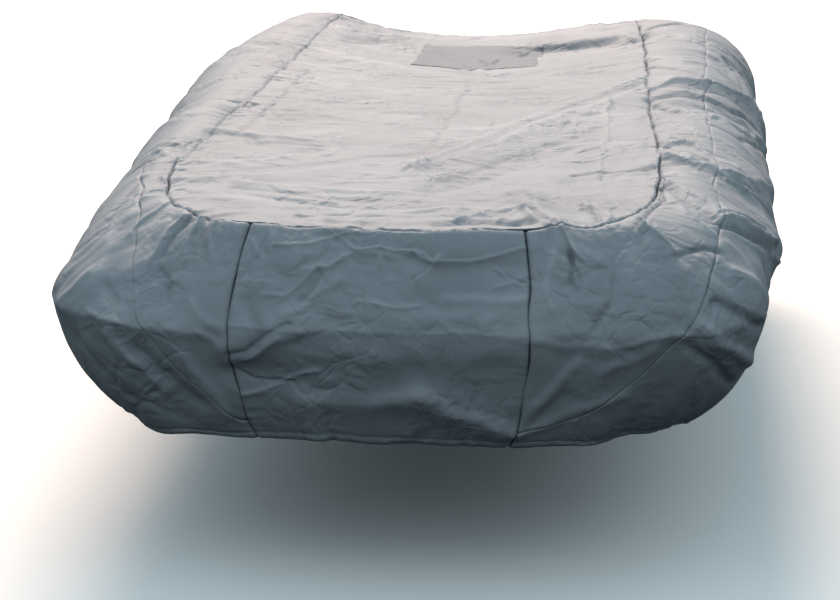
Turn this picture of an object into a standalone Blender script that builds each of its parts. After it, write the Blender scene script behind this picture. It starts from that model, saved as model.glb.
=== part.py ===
"""Fitted cover for a small inflatable dinghy: eight cut and sewn panels of coated cloth.

The whole outer skin is worked out once, as a deck that spans the top seam and a side that runs round the
boat from that seam over the tube to the hem. Each panel is a stretch of that skin, 2 mm thick.

The drawing frame of the tables has x across the boat (port positive), y from the front of the bow towards
the stern, and z up from the middle of the tube. The finished part stands in its own frame: its origin is
the middle of the underside of the deck, where the boat holds the cover up.
"""

import math
from collections import namedtuple

import bpy
import numpy as np

# Cloth and sewing, in metres.
CLOTH = 0.002
SEAM_GAP = 0.0003
PATCH_CLOTH = 0.0015

# How finely the skin is divided.
HALF_BOW_CELLS = 8
SHOULDER_CELLS = 6
SKIRT_CELLS = 6
SECTION_STEPS = 60

# Direction that ranks the corners of a rim, so that two sewn edges are split alike.
RIM_SPLIT = (1.0, 0.37, 0.61)

# Places along a side, counted in rows of the section tables.
BOW_SEAM_PLACE = 2
STERN_SEAM_PLACE = 20
CELLS_BETWEEN_PLACES = (2, 2, 2, 2, 2, 3, 4, 4, 5, 5, 5, 5, 4, 3, 3, 2, 2, 2)

# One row for each section round a side, from the middle of the bow to the middle of the stern.
# seam: the deck seam's place. crest_out, crest: how far outside the seam the tube's top lies, and its height.
# belly: the widest line's place. fall: depth of the lower quarter's curve. slack: 1 is round, more is flat.
# hem: the lower edge's place and height. long_seam: its share of the way from the deck seam to the hem.
SECTION_COLUMNS = (
    "seam_x", "seam_y", "crest_out", "crest", "belly_x", "belly_y", "fall", "slack",
    "hem_x", "hem_y", "hem_z", "long_seam",
)
MIRRORED_COLUMNS = ("seam_x", "belly_x", "hem_x")

# A curve through the rows is never steeper at a row than this many times its smaller step there.
STEEPEST_SLOPE = 3.0

PORT_SECTIONS = (
    ("bow_centre",    0.000, 0.125, 0.000, 0.205, 0.000, -0.008, 0.36, 1.00, 0.000, 0.045, -0.275, 0.920),
    ("bow_quarter",   0.160, 0.128, 0.000, 0.205, 0.175, -0.005, 0.36, 1.00, 0.145, 0.047, -0.275, 0.910),
    ("bow_seam",      0.310, 0.135, 0.002, 0.206, 0.337,  0.000, 0.36, 1.00, 0.280, 0.055, -0.275, 0.895),
    ("front",         0.400, 0.150, 0.008, 0.208, 0.480,  0.003, 0.35, 1.00, 0.400, 0.075, -0.275, 0.825),
    ("front_corner",  0.470, 0.180, 0.015, 0.210, 0.620,  0.020, 0.33, 1.00, 0.510, 0.120, -0.275, 0.595),
    ("corner",        0.525, 0.240, 0.025, 0.213, 0.745,  0.075, 0.31, 1.00, 0.600, 0.195, -0.275, 0.390),
    ("corner_out",    0.555, 0.320, 0.035, 0.215, 0.825,  0.180, 0.30, 1.00, 0.665, 0.300, -0.275, 0.290),
    ("side_front",    0.580, 0.420, 0.045, 0.216, 0.860,  0.310, 0.29, 1.00, 0.705, 0.420, -0.275, 0.245),
    ("side_a",        0.600, 0.570, 0.050, 0.217, 0.868,  0.480, 0.29, 1.00, 0.730, 0.560, -0.275, 0.210),
    ("side_b",        0.600, 0.760, 0.052, 0.218, 0.872,  0.720, 0.29, 1.00, 0.740, 0.760, -0.275, 0.200),
    ("side_c",        0.590, 1.000, 0.060, 0.218, 0.888,  1.000, 0.29, 1.00, 0.745, 1.000, -0.275, 0.190),
    ("side_d",        0.570, 1.300, 0.070, 0.220, 0.882,  1.300, 0.29, 1.00, 0.745, 1.300, -0.275, 0.205),
    ("side_e",        0.552, 1.650, 0.080, 0.222, 0.885,  1.650, 0.29, 1.00, 0.745, 1.650, -0.275, 0.210),
    ("side_f",        0.537, 2.000, 0.088, 0.226, 0.878,  2.000, 0.29, 1.00, 0.745, 2.000, -0.275, 0.220),
    ("side_g",        0.521, 2.350, 0.095, 0.230, 0.868,  2.350, 0.29, 1.00, 0.745, 2.350, -0.275, 0.235),
    ("side_h",        0.508, 2.620, 0.100, 0.234, 0.862,  2.620, 0.29, 0.95, 0.740, 2.620, -0.275, 0.250),
    ("quarter",       0.497, 2.820, 0.105, 0.237, 0.864,  2.850, 0.29, 0.90, 0.735, 2.830, -0.275, 0.260),
    ("stern_corner",  0.490, 2.930, 0.088, 0.230, 0.822,  3.020, 0.30, 1.05, 0.700, 2.980, -0.275, 0.280),
    ("stern_out",     0.486, 3.000, 0.058, 0.222, 0.725,  3.110, 0.32, 1.05, 0.640, 3.070, -0.275, 0.290),
    ("stern_in",      0.483, 3.050, 0.026, 0.216, 0.600,  3.150, 0.34, 1.00, 0.560, 3.110, -0.275, 0.300),
    ("stern_seam",    0.480, 3.080, 0.006, 0.211, 0.480,  3.165, 0.36, 1.00, 0.460, 3.120, -0.275, 0.310),
    ("stern_quarter", 0.250, 3.085, 0.000, 0.176, 0.250,  3.170, 0.36, 1.00, 0.240, 3.125, -0.275, 0.310),
    ("stern_centre",  0.000, 3.080, 0.000, 0.150, 0.000,  3.165, 0.36, 1.00, 0.000, 3.120, -0.275, 0.310),
)
STARBOARD_SECTIONS = (
    ("bow_centre",    0.000, 0.125, 0.000, 0.205, 0.000, -0.008, 0.36, 1.00, 0.000, 0.045, -0.275, 0.920),
    ("bow_quarter",   0.160, 0.128, 0.000, 0.205, 0.175, -0.005, 0.36, 1.00, 0.145, 0.047, -0.275, 0.910),
    ("bow_seam",      0.303, 0.145, 0.002, 0.206, 0.337,  0.000, 0.36, 1.00, 0.280, 0.050, -0.275, 0.895),
    ("front",         0.370, 0.180, 0.008, 0.206, 0.460,  0.003, 0.35, 1.05, 0.390, 0.070, -0.278, 0.695),
    ("front_corner",  0.440, 0.220, 0.015, 0.208, 0.590,  0.020, 0.33, 1.15, 0.480, 0.085, -0.278, 0.380),
    ("corner",        0.500, 0.300, 0.022, 0.210, 0.700,  0.070, 0.31, 1.25, 0.560, 0.140, -0.278, 0.180),
    ("corner_out",    0.535, 0.370, 0.030, 0.212, 0.760,  0.160, 0.30, 1.30, 0.620, 0.240, -0.276, 0.110),
    ("side_front",    0.555, 0.460, 0.038, 0.214, 0.785,  0.290, 0.29, 1.35, 0.660, 0.380, -0.275, 0.100),
    ("side_a",        0.575, 0.600, 0.045, 0.216, 0.802,  0.460, 0.29, 1.35, 0.680, 0.540, -0.275, 0.120),
    ("side_b",        0.580, 0.780, 0.050, 0.218, 0.820,  0.700, 0.29, 1.35, 0.690, 0.740, -0.275, 0.150),
    ("side_c",        0.578, 1.000, 0.055, 0.218, 0.826,  1.000, 0.29, 1.30, 0.700, 1.000, -0.275, 0.180),
    ("side_d",        0.562, 1.300, 0.065, 0.220, 0.832,  1.300, 0.29, 1.20, 0.710, 1.300, -0.275, 0.200),
    ("side_e",        0.543, 1.650, 0.075, 0.222, 0.845,  1.650, 0.29, 1.10, 0.720, 1.650, -0.275, 0.210),
    ("side_f",        0.528, 2.000, 0.085, 0.226, 0.855,  2.000, 0.29, 1.00, 0.730, 2.000, -0.275, 0.220),
    ("side_g",        0.517, 2.350, 0.095, 0.230, 0.860,  2.350, 0.29, 1.00, 0.735, 2.350, -0.275, 0.235),
    ("side_h",        0.508, 2.620, 0.100, 0.234, 0.862,  2.620, 0.29, 1.10, 0.735, 2.620, -0.275, 0.250),
    ("quarter",       0.500, 2.820, 0.105, 0.237, 0.850,  2.850, 0.29, 1.35, 0.735, 2.830, -0.275, 0.260),
    ("stern_corner",  0.495, 2.930, 0.090, 0.234, 0.800,  3.020, 0.30, 1.35, 0.700, 2.980, -0.275, 0.280),
    ("stern_out",     0.490, 3.000, 0.060, 0.226, 0.715,  3.110, 0.32, 1.25, 0.640, 3.070, -0.275, 0.290),
    ("stern_in",      0.486, 3.050, 0.027, 0.217, 0.600,  3.150, 0.34, 1.10, 0.560, 3.110, -0.275, 0.300),
    ("stern_seam",    0.482, 3.080, 0.006, 0.211, 0.480,  3.165, 0.36, 1.00, 0.460, 3.120, -0.275, 0.310),
    ("stern_quarter", 0.250, 3.085, 0.000, 0.158, 0.250,  3.170, 0.36, 1.00, 0.240, 3.125, -0.275, 0.310),
    ("stern_centre",  0.000, 3.080, 0.000, 0.150, 0.000,  3.165, 0.36, 1.00, 0.000, 3.120, -0.275, 0.310),
)

# How far the middle of the deck hangs below its side seams. Columns: distance from the bow, sag.
DECK_SAG = (
    (0.13, 0.000),
    (0.30, 0.006),
    (0.60, 0.014),
    (1.00, 0.022),
    (1.80, 0.034),
    (2.40, 0.052),
    (2.72, 0.082),
    (2.88, 0.066),
    (3.08, 0.062),
)

# How far the bent front and back edges of the deck reach into it.
BOW_EDGE_FADE = 0.45
STERN_EDGE_FADE = 0.55

# Folds: a soft ridge (height above 0) or trough (below 0) along a line of points.
Fold = namedtuple("Fold", ("name", "half_width", "height", "line"))
FOLDS = (
    # Deck
    ("long_ridge", 0.050, 0.012, ((-0.03, 0.71, 0.20), (0.26, 1.46, 0.19), (0.52, 1.99, 0.21))),
    ("second_ridge", 0.045, 0.009, ((0.12, 0.92, 0.20), (0.32, 1.42, 0.20), (0.53, 1.80, 0.21))),
    ("trough_between", 0.050, -0.010, ((0.08, 0.56, 0.20), (0.25, 0.85, 0.20), (0.34, 1.06, 0.20))),
    ("front_fold", 0.040, -0.012, ((-0.39, 0.44, 0.21), (-0.17, 0.36, 0.21), (0.06, 0.34, 0.21))),
    ("front_ridge", 0.045, 0.009, ((-0.55, 0.53, 0.21), (-0.25, 0.64, 0.20), (0.00, 0.80, 0.20))),
    ("starboard_fold", 0.045, -0.011, ((-0.57, 1.09, 0.21), (-0.26, 0.95, 0.20))),
    ("starboard_pleat", 0.045, -0.009, ((-0.53, 1.51, 0.21), (-0.42, 1.40, 0.20))),
    ("corner_bunch", 0.040, 0.013, ((0.27, 0.50, 0.21), (0.38, 0.17, 0.21))),
    ("corner_dip", 0.040, -0.009, ((0.40, 0.66, 0.20), (0.58, 0.76, 0.21))),
    ("stern_step", 0.070, -0.022, ((0.16, 2.80, 0.16), (0.44, 2.72, 0.19))),
    ("patch_pucker", 0.045, -0.010, ((-0.02, 2.42, 0.16), (0.10, 2.36, 0.16))),
    # Port tube
    ("port_ridge", 0.055, 0.014, ((0.62, 1.83, 0.22), (0.77, 1.90, 0.18), (0.86, 2.06, 0.08))),
    ("port_pocket", 0.060, -0.013, ((0.60, 1.60, 0.22), (0.80, 1.66, 0.15))),
    ("port_dip", 0.040, -0.009, ((0.60, 1.08, 0.21), (0.72, 0.98, 0.21))),
    ("big_ridge", 0.050, 0.018, (
        (0.62, 0.90, 0.22), (0.76, 0.85, 0.20), (0.83, 0.99, 0.14), (0.88, 1.40, 0.02),
    )),
    ("big_trough", 0.045, -0.014, ((0.61, 0.78, 0.21), (0.75, 0.71, 0.20), (0.86, 0.82, 0.08))),
    ("belly_ridge", 0.045, 0.014, ((0.76, 0.39, 0.18), (0.87, 0.69, 0.05), (0.88, 1.00, -0.03))),
    ("port_rear_crease", 0.050, -0.011, ((0.75, 2.43, 0.19), (0.85, 2.08, 0.11))),
    # Starboard tube
    ("starboard_front_ridge", 0.045, 0.012, ((-0.67, 0.10, 0.08), (-0.74, 0.12, 0.01))),
    ("starboard_dimple", 0.035, -0.009, ((-0.62, 0.06, 0.09), (-0.59, 0.03, 0.04))),
    ("starboard_shade", 0.045, -0.011, ((-0.60, 0.92, 0.22), (-0.65, 0.81, 0.21), (-0.74, 0.80, 0.16))),
    ("starboard_mid_ridge", 0.050, 0.012, ((-0.62, 1.40, 0.22), (-0.81, 1.30, 0.09))),
    ("starboard_mid_trough", 0.055, -0.012, ((-0.64, 1.85, 0.22), (-0.83, 1.72, 0.06))),
    ("starboard_rear_ridge", 0.055, 0.012, ((-0.65, 2.40, 0.22), (-0.84, 2.20, 0.07))),
    # Front corners and bow
    ("port_dart", 0.035, -0.009, ((0.54, 0.13, 0.20), (0.51, 0.03, 0.12), (0.49, 0.00, 0.01))),
    ("port_corner_ridge", 0.035, 0.010, ((0.57, 0.19, 0.21), (0.66, 0.10, 0.15))),
    ("starboard_dart", 0.035, -0.009, ((-0.46, 0.17, 0.20), (-0.49, 0.06, 0.14), (-0.47, 0.01, 0.05))),
    ("starboard_corner_pleat", 0.030, -0.008, ((-0.52, 0.30, 0.21), (-0.58, 0.16, 0.17))),
    ("bow_ridge", 0.035, 0.011, ((-0.33, 0.00, -0.05), (-0.19, -0.01, 0.02))),
    ("bow_trough", 0.035, -0.009, ((-0.33, 0.00, -0.10), (-0.18, 0.00, -0.13))),
    ("bow_top_trough", 0.030, -0.007, ((0.06, 0.06, 0.17), (0.13, 0.04, 0.15), (0.30, 0.05, 0.16))),
    ("bow_hem_ridge", 0.045, 0.011, ((0.09, 0.01, -0.15), (0.27, 0.04, -0.24))),
)

# Soft drapes down the skirts, where the hem is drawn in. side: 1 is port, -1 starboard. place counts rows of
# the section tables.
Drape = namedtuple("Drape", ("side", "place", "half_width", "height"))
DRAPES = (
    (1, 4.3, 0.045, -0.010),
    (1, 6.2, 0.050, 0.012),
    (1, 7.6, 0.045, -0.012),
    (1, 9.3, 0.060, 0.011),
    (1, 10.6, 0.055, -0.012),
    (1, 12.2, 0.060, -0.010),
    (1, 13.4, 0.055, 0.012),
    (1, 15.1, 0.060, -0.011),
    (1, 17.6, 0.050, 0.010),
    (-1, 4.1, 0.045, 0.009),
    (-1, 5.4, 0.045, -0.011),
    (-1, 6.7, 0.050, 0.011),
    (-1, 8.4, 0.055, -0.012),
    (-1, 9.8, 0.060, 0.010),
    (-1, 11.3, 0.060, -0.012),
    (-1, 12.9, 0.055, 0.011),
    (-1, 14.4, 0.060, -0.010),
    (-1, 16.6, 0.050, 0.011),
    (-1, 18.2, 0.045, -0.009),
)

# Where a drape starts, bends and ends, as shares of the way from the deck seam to the hem.
DRAPE_SHARES = (0.48, 0.70, 0.97)

# The patch's corners are these rows and columns of the deck's corners, counted from the bow and starboard.
PATCH_ROWS = (44, 54)
PATCH_COLUMNS = (5, 12)

# The deck point that the boat holds up, as a row and a column of the deck's corners.
HOLD_ROW = 28
HOLD_COLUMN = HALF_BOW_CELLS

CLOTH_COLOUR = (0.29, 0.30, 0.32, 1.0)
CLOTH_ROUGHNESS = 0.72
SHARP_ANGLE = math.radians(50)


def clear_scene():
    """Removes whatever the scene holds."""
    for obj in list(bpy.data.objects):
        bpy.data.objects.remove(obj, do_unlink=True)


def smooth(share):
    """A soft step from 0 to 1."""
    share = np.clip(share, 0.0, 1.0)
    return share * share * (3.0 - 2.0 * share)


def unit(vectors):
    """The same directions at length 1."""
    return vectors / np.maximum(np.linalg.norm(vectors, axis=-1, keepdims=True), 1e-12)


def side_places():
    """Where the skin's corners lie along one side, in rows of the section tables."""
    last = len(PORT_SECTIONS) - 1
    places = list(np.linspace(0, BOW_SEAM_PLACE, HALF_BOW_CELLS + 1))
    for start, cells in enumerate(CELLS_BETWEEN_PLACES, BOW_SEAM_PLACE):
        places += [start + (step + 1) / cells for step in range(cells)]
    places += list(np.linspace(STERN_SEAM_PLACE, last, HALF_BOW_CELLS + 1))[1:]
    return np.array(places)


def sections_at(table, places):
    """The table's columns at the places, on smooth curves through its rows."""
    rows = np.array([row[1:] for row in table])
    steps = np.diff(rows, axis=0)
    steepest = STEEPEST_SLOPE * np.minimum(abs(steps[1:]), abs(steps[:-1]))
    crosses = np.array([name in MIRRORED_COLUMNS for name in SECTION_COLUMNS])
    slopes = np.empty_like(rows)
    slopes[1:-1] = np.clip((steps[1:] + steps[:-1]) / 2.0, -steepest, steepest)
    slopes[0] = np.where(crosses, steps[0], 0.0)
    slopes[-1] = np.where(crosses, steps[-1], 0.0)
    first = np.minimum(places.astype(int), len(rows) - 2)
    t = (places - first)[:, None]
    values = (
        (2 * t**3 - 3 * t**2 + 1) * rows[first]
        + (t**3 - 2 * t**2 + t) * slopes[first]
        + (3 * t**2 - 2 * t**3) * rows[first + 1]
        + (t**3 - t**2) * slopes[first + 1]
    )
    return [dict(zip(SECTION_COLUMNS, value)) for value in values]


def section_line(section, side):
    """One section from the deck seam over the tube to the hem, as a fine line of points."""
    seam = np.array([section["seam_x"], section["seam_y"]])
    belly = np.array([section["belly_x"], section["belly_y"]])
    hem = np.array([section["hem_x"], section["hem_y"]])
    reach = np.linalg.norm(belly - seam) - section["crest_out"]
    start = -math.asin(section["crest_out"] / reach)

    turn = np.linspace(start, math.pi / 2, SECTION_STEPS)
    outside = turn > 0
    across = np.where(outside, np.abs(np.sin(turn)) ** section["slack"], np.sin(turn))
    height = np.where(outside, np.abs(np.cos(turn)) ** section["slack"], np.cos(turn))
    share = (across - math.sin(start)) / (1.0 - math.sin(start))
    upper = np.column_stack([seam + share[:, None] * (belly - seam), section["crest"] * height])

    end = math.asin(-section["hem_z"] / section["fall"])
    turn = np.linspace(0.0, end, SECTION_STEPS)[1:]
    share = (1.0 - np.cos(turn)) / (1.0 - math.cos(end))
    lower = np.column_stack([belly + share[:, None] * (hem - belly), -section["fall"] * np.sin(turn)])

    line = np.vstack([upper, lower])
    line[:, 0] *= side
    return line


def points_along(line, shares):
    """Points of a line at shares of its length."""
    lengths = np.concatenate([[0.0], np.cumsum(np.linalg.norm(np.diff(line, axis=0), axis=1))])
    marks = np.asarray(shares) * lengths[-1]
    return np.column_stack([np.interp(marks, lengths, line[:, axis]) for axis in range(3)])


def side_table(side):
    """The section table of port (1) or starboard (-1)."""
    return PORT_SECTIONS if side > 0 else STARBOARD_SECTIONS


def side_skin(side):
    """The side's corners: a column for each place, from the deck seam to the hem."""
    columns = []
    for section in sections_at(side_table(side), side_places()):
        upper = np.linspace(0.0, section["long_seam"], SHOULDER_CELLS + 1)
        lower = np.linspace(section["long_seam"], 1.0, SKIRT_CELLS + 1)
        columns.append(points_along(section_line(section, side), np.concatenate([upper, lower[1:]])))
    return np.array(columns)


def ring_skin():
    """The whole side, once round the boat: port from bow to stern, then starboard back to the bow."""
    port = side_skin(1)
    starboard = side_skin(-1)
    return np.concatenate([port, starboard[-2:0:-1]])


def deck_edge(ring):
    """Which ring column each corner of the deck's four edges is, as arrays: bow, stern, port, starboard."""
    half = len(ring) // 2
    across = np.arange(-HALF_BOW_CELLS, HALF_BOW_CELLS + 1)
    bow = across % len(ring)
    stern = half - across
    port = np.arange(HALF_BOW_CELLS, half - HALF_BOW_CELLS + 1)
    starboard = len(ring) - port
    return bow, stern, port, starboard


def deck_skin(ring):
    """The deck's corners: a row for each place from bow to stern, a column from starboard to port."""
    bow, stern, port, starboard = deck_edge(ring)
    across = np.linspace(-1.0, 1.0, len(bow))[None, :, None]
    left = ring[starboard, 0][:, None]
    right = ring[port, 0][:, None]
    flat = (left + right) / 2.0 + across * (right - left) / 2.0
    across = across[:, :, 0]
    middle = flat[:, HALF_BOW_CELLS, 1]
    spread = np.linspace(middle[0], middle[-1], len(middle)) - middle
    flat[:, :, 1] += spread[:, None] * (1.0 - across**4)
    sag = np.array(DECK_SAG)
    flat[:, :, 2] -= np.interp(flat[:, :, 1], sag[:, 0], sag[:, 1]) * (1.0 - across**2)
    middle = flat[:, HALF_BOW_CELLS, 1][:, None, None]
    bow_share = 1.0 - smooth((middle - middle[0]) / BOW_EDGE_FADE)
    stern_share = 1.0 - smooth((middle[-1] - middle) / STERN_EDGE_FADE)
    bow_rest = ring[bow, 0] - flat[0]
    stern_rest = ring[stern, 0] - flat[-1]
    return flat + bow_share * bow_rest + stern_share * stern_rest


def fold_lines():
    """Every fold and drape as (half width, height, line of points)."""
    lines = []
    for fold in (Fold(*row) for row in FOLDS):
        lines.append((fold.half_width, fold.height, np.array(fold.line)))
    for drape in (Drape(*row) for row in DRAPES):
        section = sections_at(side_table(drape.side), np.array([drape.place]))[0]
        line = points_along(section_line(section, drape.side), DRAPE_SHARES)
        lines.append((drape.half_width, drape.height, line))
    return lines


def distance_to_line(points, line):
    """How far each point is from the nearest point of a line."""
    nearest = np.full(points.shape[:-1], np.inf)
    for start, end in zip(line[:-1], line[1:]):
        run = end - start
        share = np.clip((points - start) @ run / (run @ run), 0.0, 1.0)
        nearest = np.minimum(nearest, np.linalg.norm(points - start - share[..., None] * run, axis=-1))
    return nearest


def fold_height(points):
    """How far the folds lift or sink the skin at each point."""
    height = np.zeros(points.shape[:-1])
    for half_width, fold, line in fold_lines():
        height += fold * np.exp(-((distance_to_line(points, line) / half_width) ** 2))
    return height


def corner_normals(grid):
    """The summed directions of the cells that meet at each corner of a grid."""
    cells = np.cross(grid[1:, 1:] - grid[:-1, :-1], grid[:-1, 1:] - grid[1:, :-1])
    total = np.zeros_like(grid)
    for corner in (total[:-1, :-1], total[1:, :-1], total[1:, 1:], total[:-1, 1:]):
        corner += cells
    return total


def skin_normals(ring, deck):
    """Outward directions at the corners of the ring and the deck, shared along the deck seam."""
    ring_normals = -corner_normals(np.concatenate([ring, ring[:1]]))
    ring_normals[0] += ring_normals[-1]
    ring_normals = ring_normals[:-1]
    deck_normals = -corner_normals(deck)
    shared = ring_normals[:, 0].copy()
    bow, stern, port, starboard = deck_edge(ring)
    np.add.at(shared, bow, deck_normals[0])
    np.add.at(shared, stern, deck_normals[-1])
    np.add.at(shared, port[1:-1], deck_normals[1:-1, -1])
    np.add.at(shared, starboard[1:-1], deck_normals[1:-1, 0])
    ring_normals[:, 0] = shared
    deck_normals[0], deck_normals[-1] = shared[bow], shared[stern]
    deck_normals[:, -1], deck_normals[:, 0] = shared[port], shared[starboard]
    return unit(ring_normals), unit(deck_normals)


def folded_skin():
    """The ring and the deck with their folds, and the outward direction at every corner."""
    ring = ring_skin()
    deck = deck_skin(ring)
    ring_normals, deck_normals = skin_normals(ring, deck)
    ring = ring + fold_height(ring)[..., None] * ring_normals
    deck = deck + fold_height(deck)[..., None] * deck_normals
    return (ring, deck) + skin_normals(ring, deck)


def seam_allowance(skin, normals, hem_edge):
    """Moves each sewn edge of a panel half a seam gap towards its middle; hem_edge leaves the last column."""
    moved = skin.copy()
    edges = [(0, skin[0], normals[0], skin[1]), (-1, skin[-1], normals[-1], skin[-2])]
    for row, edge, normal, inside in edges:
        moved[row] += inward(edge, normal, inside)
    moved[:, 0] += inward(skin[:, 0], normals[:, 0], skin[:, 1])
    if not hem_edge:
        moved[:, -1] += inward(skin[:, -1], normals[:, -1], skin[:, -2])
    return moved


def inward(edge, normal, inside):
    """Half a seam gap, square to the edge in the cloth, towards the points inside it."""
    across = unit(np.cross(normal, np.gradient(edge, axis=0)))
    facing = math.copysign(1.0, np.sum(across * (inside - edge)))
    return across * facing * SEAM_GAP / 2.0


def rim_faces(here, after, under, rank):
    """The faces of a sheet's rim. Each cell is split from its higher ranked corner, as its neighbour's is."""
    cells = np.column_stack([here, after, here + under, after + under])
    ahead = rank[after] > rank[here]
    split_ahead = np.array([(1, 0, 2), (1, 2, 3)])
    split_here = np.array([(0, 2, 3), (0, 3, 1)])
    return np.concatenate([cells[ahead][:, split_ahead], cells[~ahead][:, split_here]]).reshape(-1, 3)


def closed_sheet(outer, inner):
    """Points and faces of a closed sheet between two grids of corners."""
    rows, columns = outer.shape[:2]
    number = np.arange(rows * columns).reshape(rows, columns)
    a, b = number[:-1, :-1].ravel(), number[1:, :-1].ravel()
    c, d = number[1:, 1:].ravel(), number[:-1, 1:].ravel()
    top = np.concatenate([np.column_stack([a, b, c]), np.column_stack([a, c, d])])
    bottom = top[:, ::-1] + rows * columns
    loop = np.concatenate([number[:, 0], number[-1, 1:], number[-2::-1, -1], number[0, -2:0:-1]])
    points = np.concatenate([outer.reshape(-1, 3), inner.reshape(-1, 3)])
    rim = rim_faces(loop, np.roll(loop, -1), rows * columns, points @ RIM_SPLIT)
    return points, np.concatenate([top, bottom, rim])


def cloth_material(name):
    """The coated cloth of one panel."""
    material = bpy.data.materials.new(name)
    material.use_nodes = True
    shader = material.node_tree.nodes["Principled BSDF"]
    shader.inputs["Base Color"].default_value = CLOTH_COLOUR
    shader.inputs["Roughness"].default_value = CLOTH_ROUGHNESS
    return material


def add_panel(name, outer, inner, origin):
    """Makes one panel's object from its outer and inner corners."""
    points, faces = closed_sheet(outer, inner)
    mesh = bpy.data.meshes.new(name)
    mesh.from_pydata((points - origin).tolist(), [], faces.tolist())
    mesh.materials.append(cloth_material(name))
    mesh.shade_smooth()
    mesh.set_sharp_from_angle(angle=SHARP_ANGLE)
    panel = bpy.data.objects.new(name, mesh)
    bpy.context.scene.collection.objects.link(panel)
    return panel


def sew_panel(name, skin, normals, origin, hem_edge):
    """One panel as a sheet of cloth under its stretch of the skin."""
    outer = seam_allowance(skin, normals, hem_edge)
    return add_panel(name, outer, outer - CLOTH * normals, origin)


def main():
    """Builds every panel."""
    clear_scene()
    ring, deck, ring_normals, deck_normals = folded_skin()
    origin = deck[HOLD_ROW, HOLD_COLUMN] - CLOTH * deck_normals[HOLD_ROW, HOLD_COLUMN]
    bow, stern, port, starboard = deck_edge(ring)

    sew_panel("top_panel", deck.transpose(1, 0, 2), deck_normals.transpose(1, 0, 2), origin, False)
    sew_panel("bow_panel", ring[bow[::-1]], ring_normals[bow[::-1]], origin, True)
    sew_panel("stern_panel", ring[stern], ring_normals[stern], origin, True)
    for side, columns in (("port", port[::-1]), ("starboard", starboard)):
        shoulder, skirt = slice(0, SHOULDER_CELLS + 1), slice(SHOULDER_CELLS, None)
        skin, normals = ring[columns], ring_normals[columns]
        sew_panel("shoulder_" + side, skin[:, shoulder], normals[:, shoulder], origin, False)
        sew_panel("skirt_" + side, skin[:, skirt], normals[:, skirt], origin, True)

    block = (slice(*PATCH_ROWS), slice(*PATCH_COLUMNS))
    under = (deck[block] + SEAM_GAP * deck_normals[block]).transpose(1, 0, 2)
    normals = deck_normals[block].transpose(1, 0, 2)
    add_panel("stern_patch", under + PATCH_CLOTH * normals, under, origin)


main()
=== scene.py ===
"""A fitted boat cover, dressed: cloth panels with their folds, puckered seams, stitching and a turned hem.

The cloth is drawn in the frame of the cover's tables: x across the boat (port positive), y from the front of
the bow towards the stern, z up from the middle of the tube. Every mesh is then moved to the part's own frame.
"""

import logging
import math
from dataclasses import dataclass, field, replace
from enum import Enum
from typing import Optional, Sequence, Union

import bpy
import numpy as np
from mathutils import Matrix, Vector


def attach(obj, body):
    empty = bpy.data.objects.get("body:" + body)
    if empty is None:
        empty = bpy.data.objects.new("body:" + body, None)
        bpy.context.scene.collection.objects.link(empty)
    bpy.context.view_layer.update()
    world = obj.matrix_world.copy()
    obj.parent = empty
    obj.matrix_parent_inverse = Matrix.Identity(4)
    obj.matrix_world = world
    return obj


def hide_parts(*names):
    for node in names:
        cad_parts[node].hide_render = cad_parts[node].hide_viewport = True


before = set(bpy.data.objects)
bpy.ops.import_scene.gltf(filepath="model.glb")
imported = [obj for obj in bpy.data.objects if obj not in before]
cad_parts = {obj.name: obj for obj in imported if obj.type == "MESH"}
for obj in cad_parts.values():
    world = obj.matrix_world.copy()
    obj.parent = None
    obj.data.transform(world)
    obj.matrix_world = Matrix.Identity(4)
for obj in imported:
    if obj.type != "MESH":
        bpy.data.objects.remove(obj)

log = logging.getLogger("boat_cover")
Array = np.ndarray
Colour = tuple[float, float, float, float]

# The part's origin, in the frame of the tables.
ORIGIN = np.array([0.00405, 1.58418, 0.17691])

# A place on a side is a row of its section table, counted from 0, with a fraction between two rows.
BOW_SEAM_PLACE = 2
STERN_SEAM_PLACE = 20
LAST_PLACE = 22

# Outward directions are worked out on a coarse grid: cells from the middle of an end to its seam, between
# each two places along a side, and down a shoulder or a skirt.
HALF_BOW_CELLS = 8
CELLS_BETWEEN_PLACES = (2, 2, 2, 2, 2, 3, 4, 4, 5, 5, 5, 5, 4, 3, 3, 2, 2, 2)
LEVEL_CELLS = 6

# Steps along each half of a section, and how steep a curve through the table may be against its chords.
SECTION_STEPS = 60
STEEPEST_SLOPE = 3.0

# What a section table says, in metres. seam: the deck seam. crest: height of the tube's top, which lies
# crest_out outside the seam. belly: the widest line. fall: how deep the curve below it would run. slack: 1
# where the upper curve is round, 2 where it is straight. long_seam: that seam's share of the way from deck
# seam to hem.
SECTION_COLUMNS = (
    "seam_x", "seam_y", "crest_out", "crest", "belly_x", "belly_y", "fall", "slack",
    "hem_x", "hem_y", "hem_z", "long_seam",
)

# Columns that change their sign from one side to the other.
MIRRORED_COLUMNS = ("seam_x", "belly_x", "hem_x")

# How much of the way in from the widest line to the hem is straight; the rest is curved.
TUCK = 0.35

# Folds are measured this far from their line, in half widths, and so far above or below it in metres.
FOLD_REACH = 3.0
LIFT_ROOM = 0.035

# A crisp fold runs out faster on one side than on the other. Its ridge is rounded over this share of its half
# width, and it falls off beyond at this rate.
STEEP_SIDE = 1.5
GENTLE_SIDE = 0.75
CRISP_TIP = 0.2
CRISP_FALL = 1.35

# How far creases and wrinkles wander, in metres, and how many bends to the metre.
WANDER = 0.010
WANDER_CELLS = 9.0
SWIRL = 0.08
SWIRL_CELLS = 3.0

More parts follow.
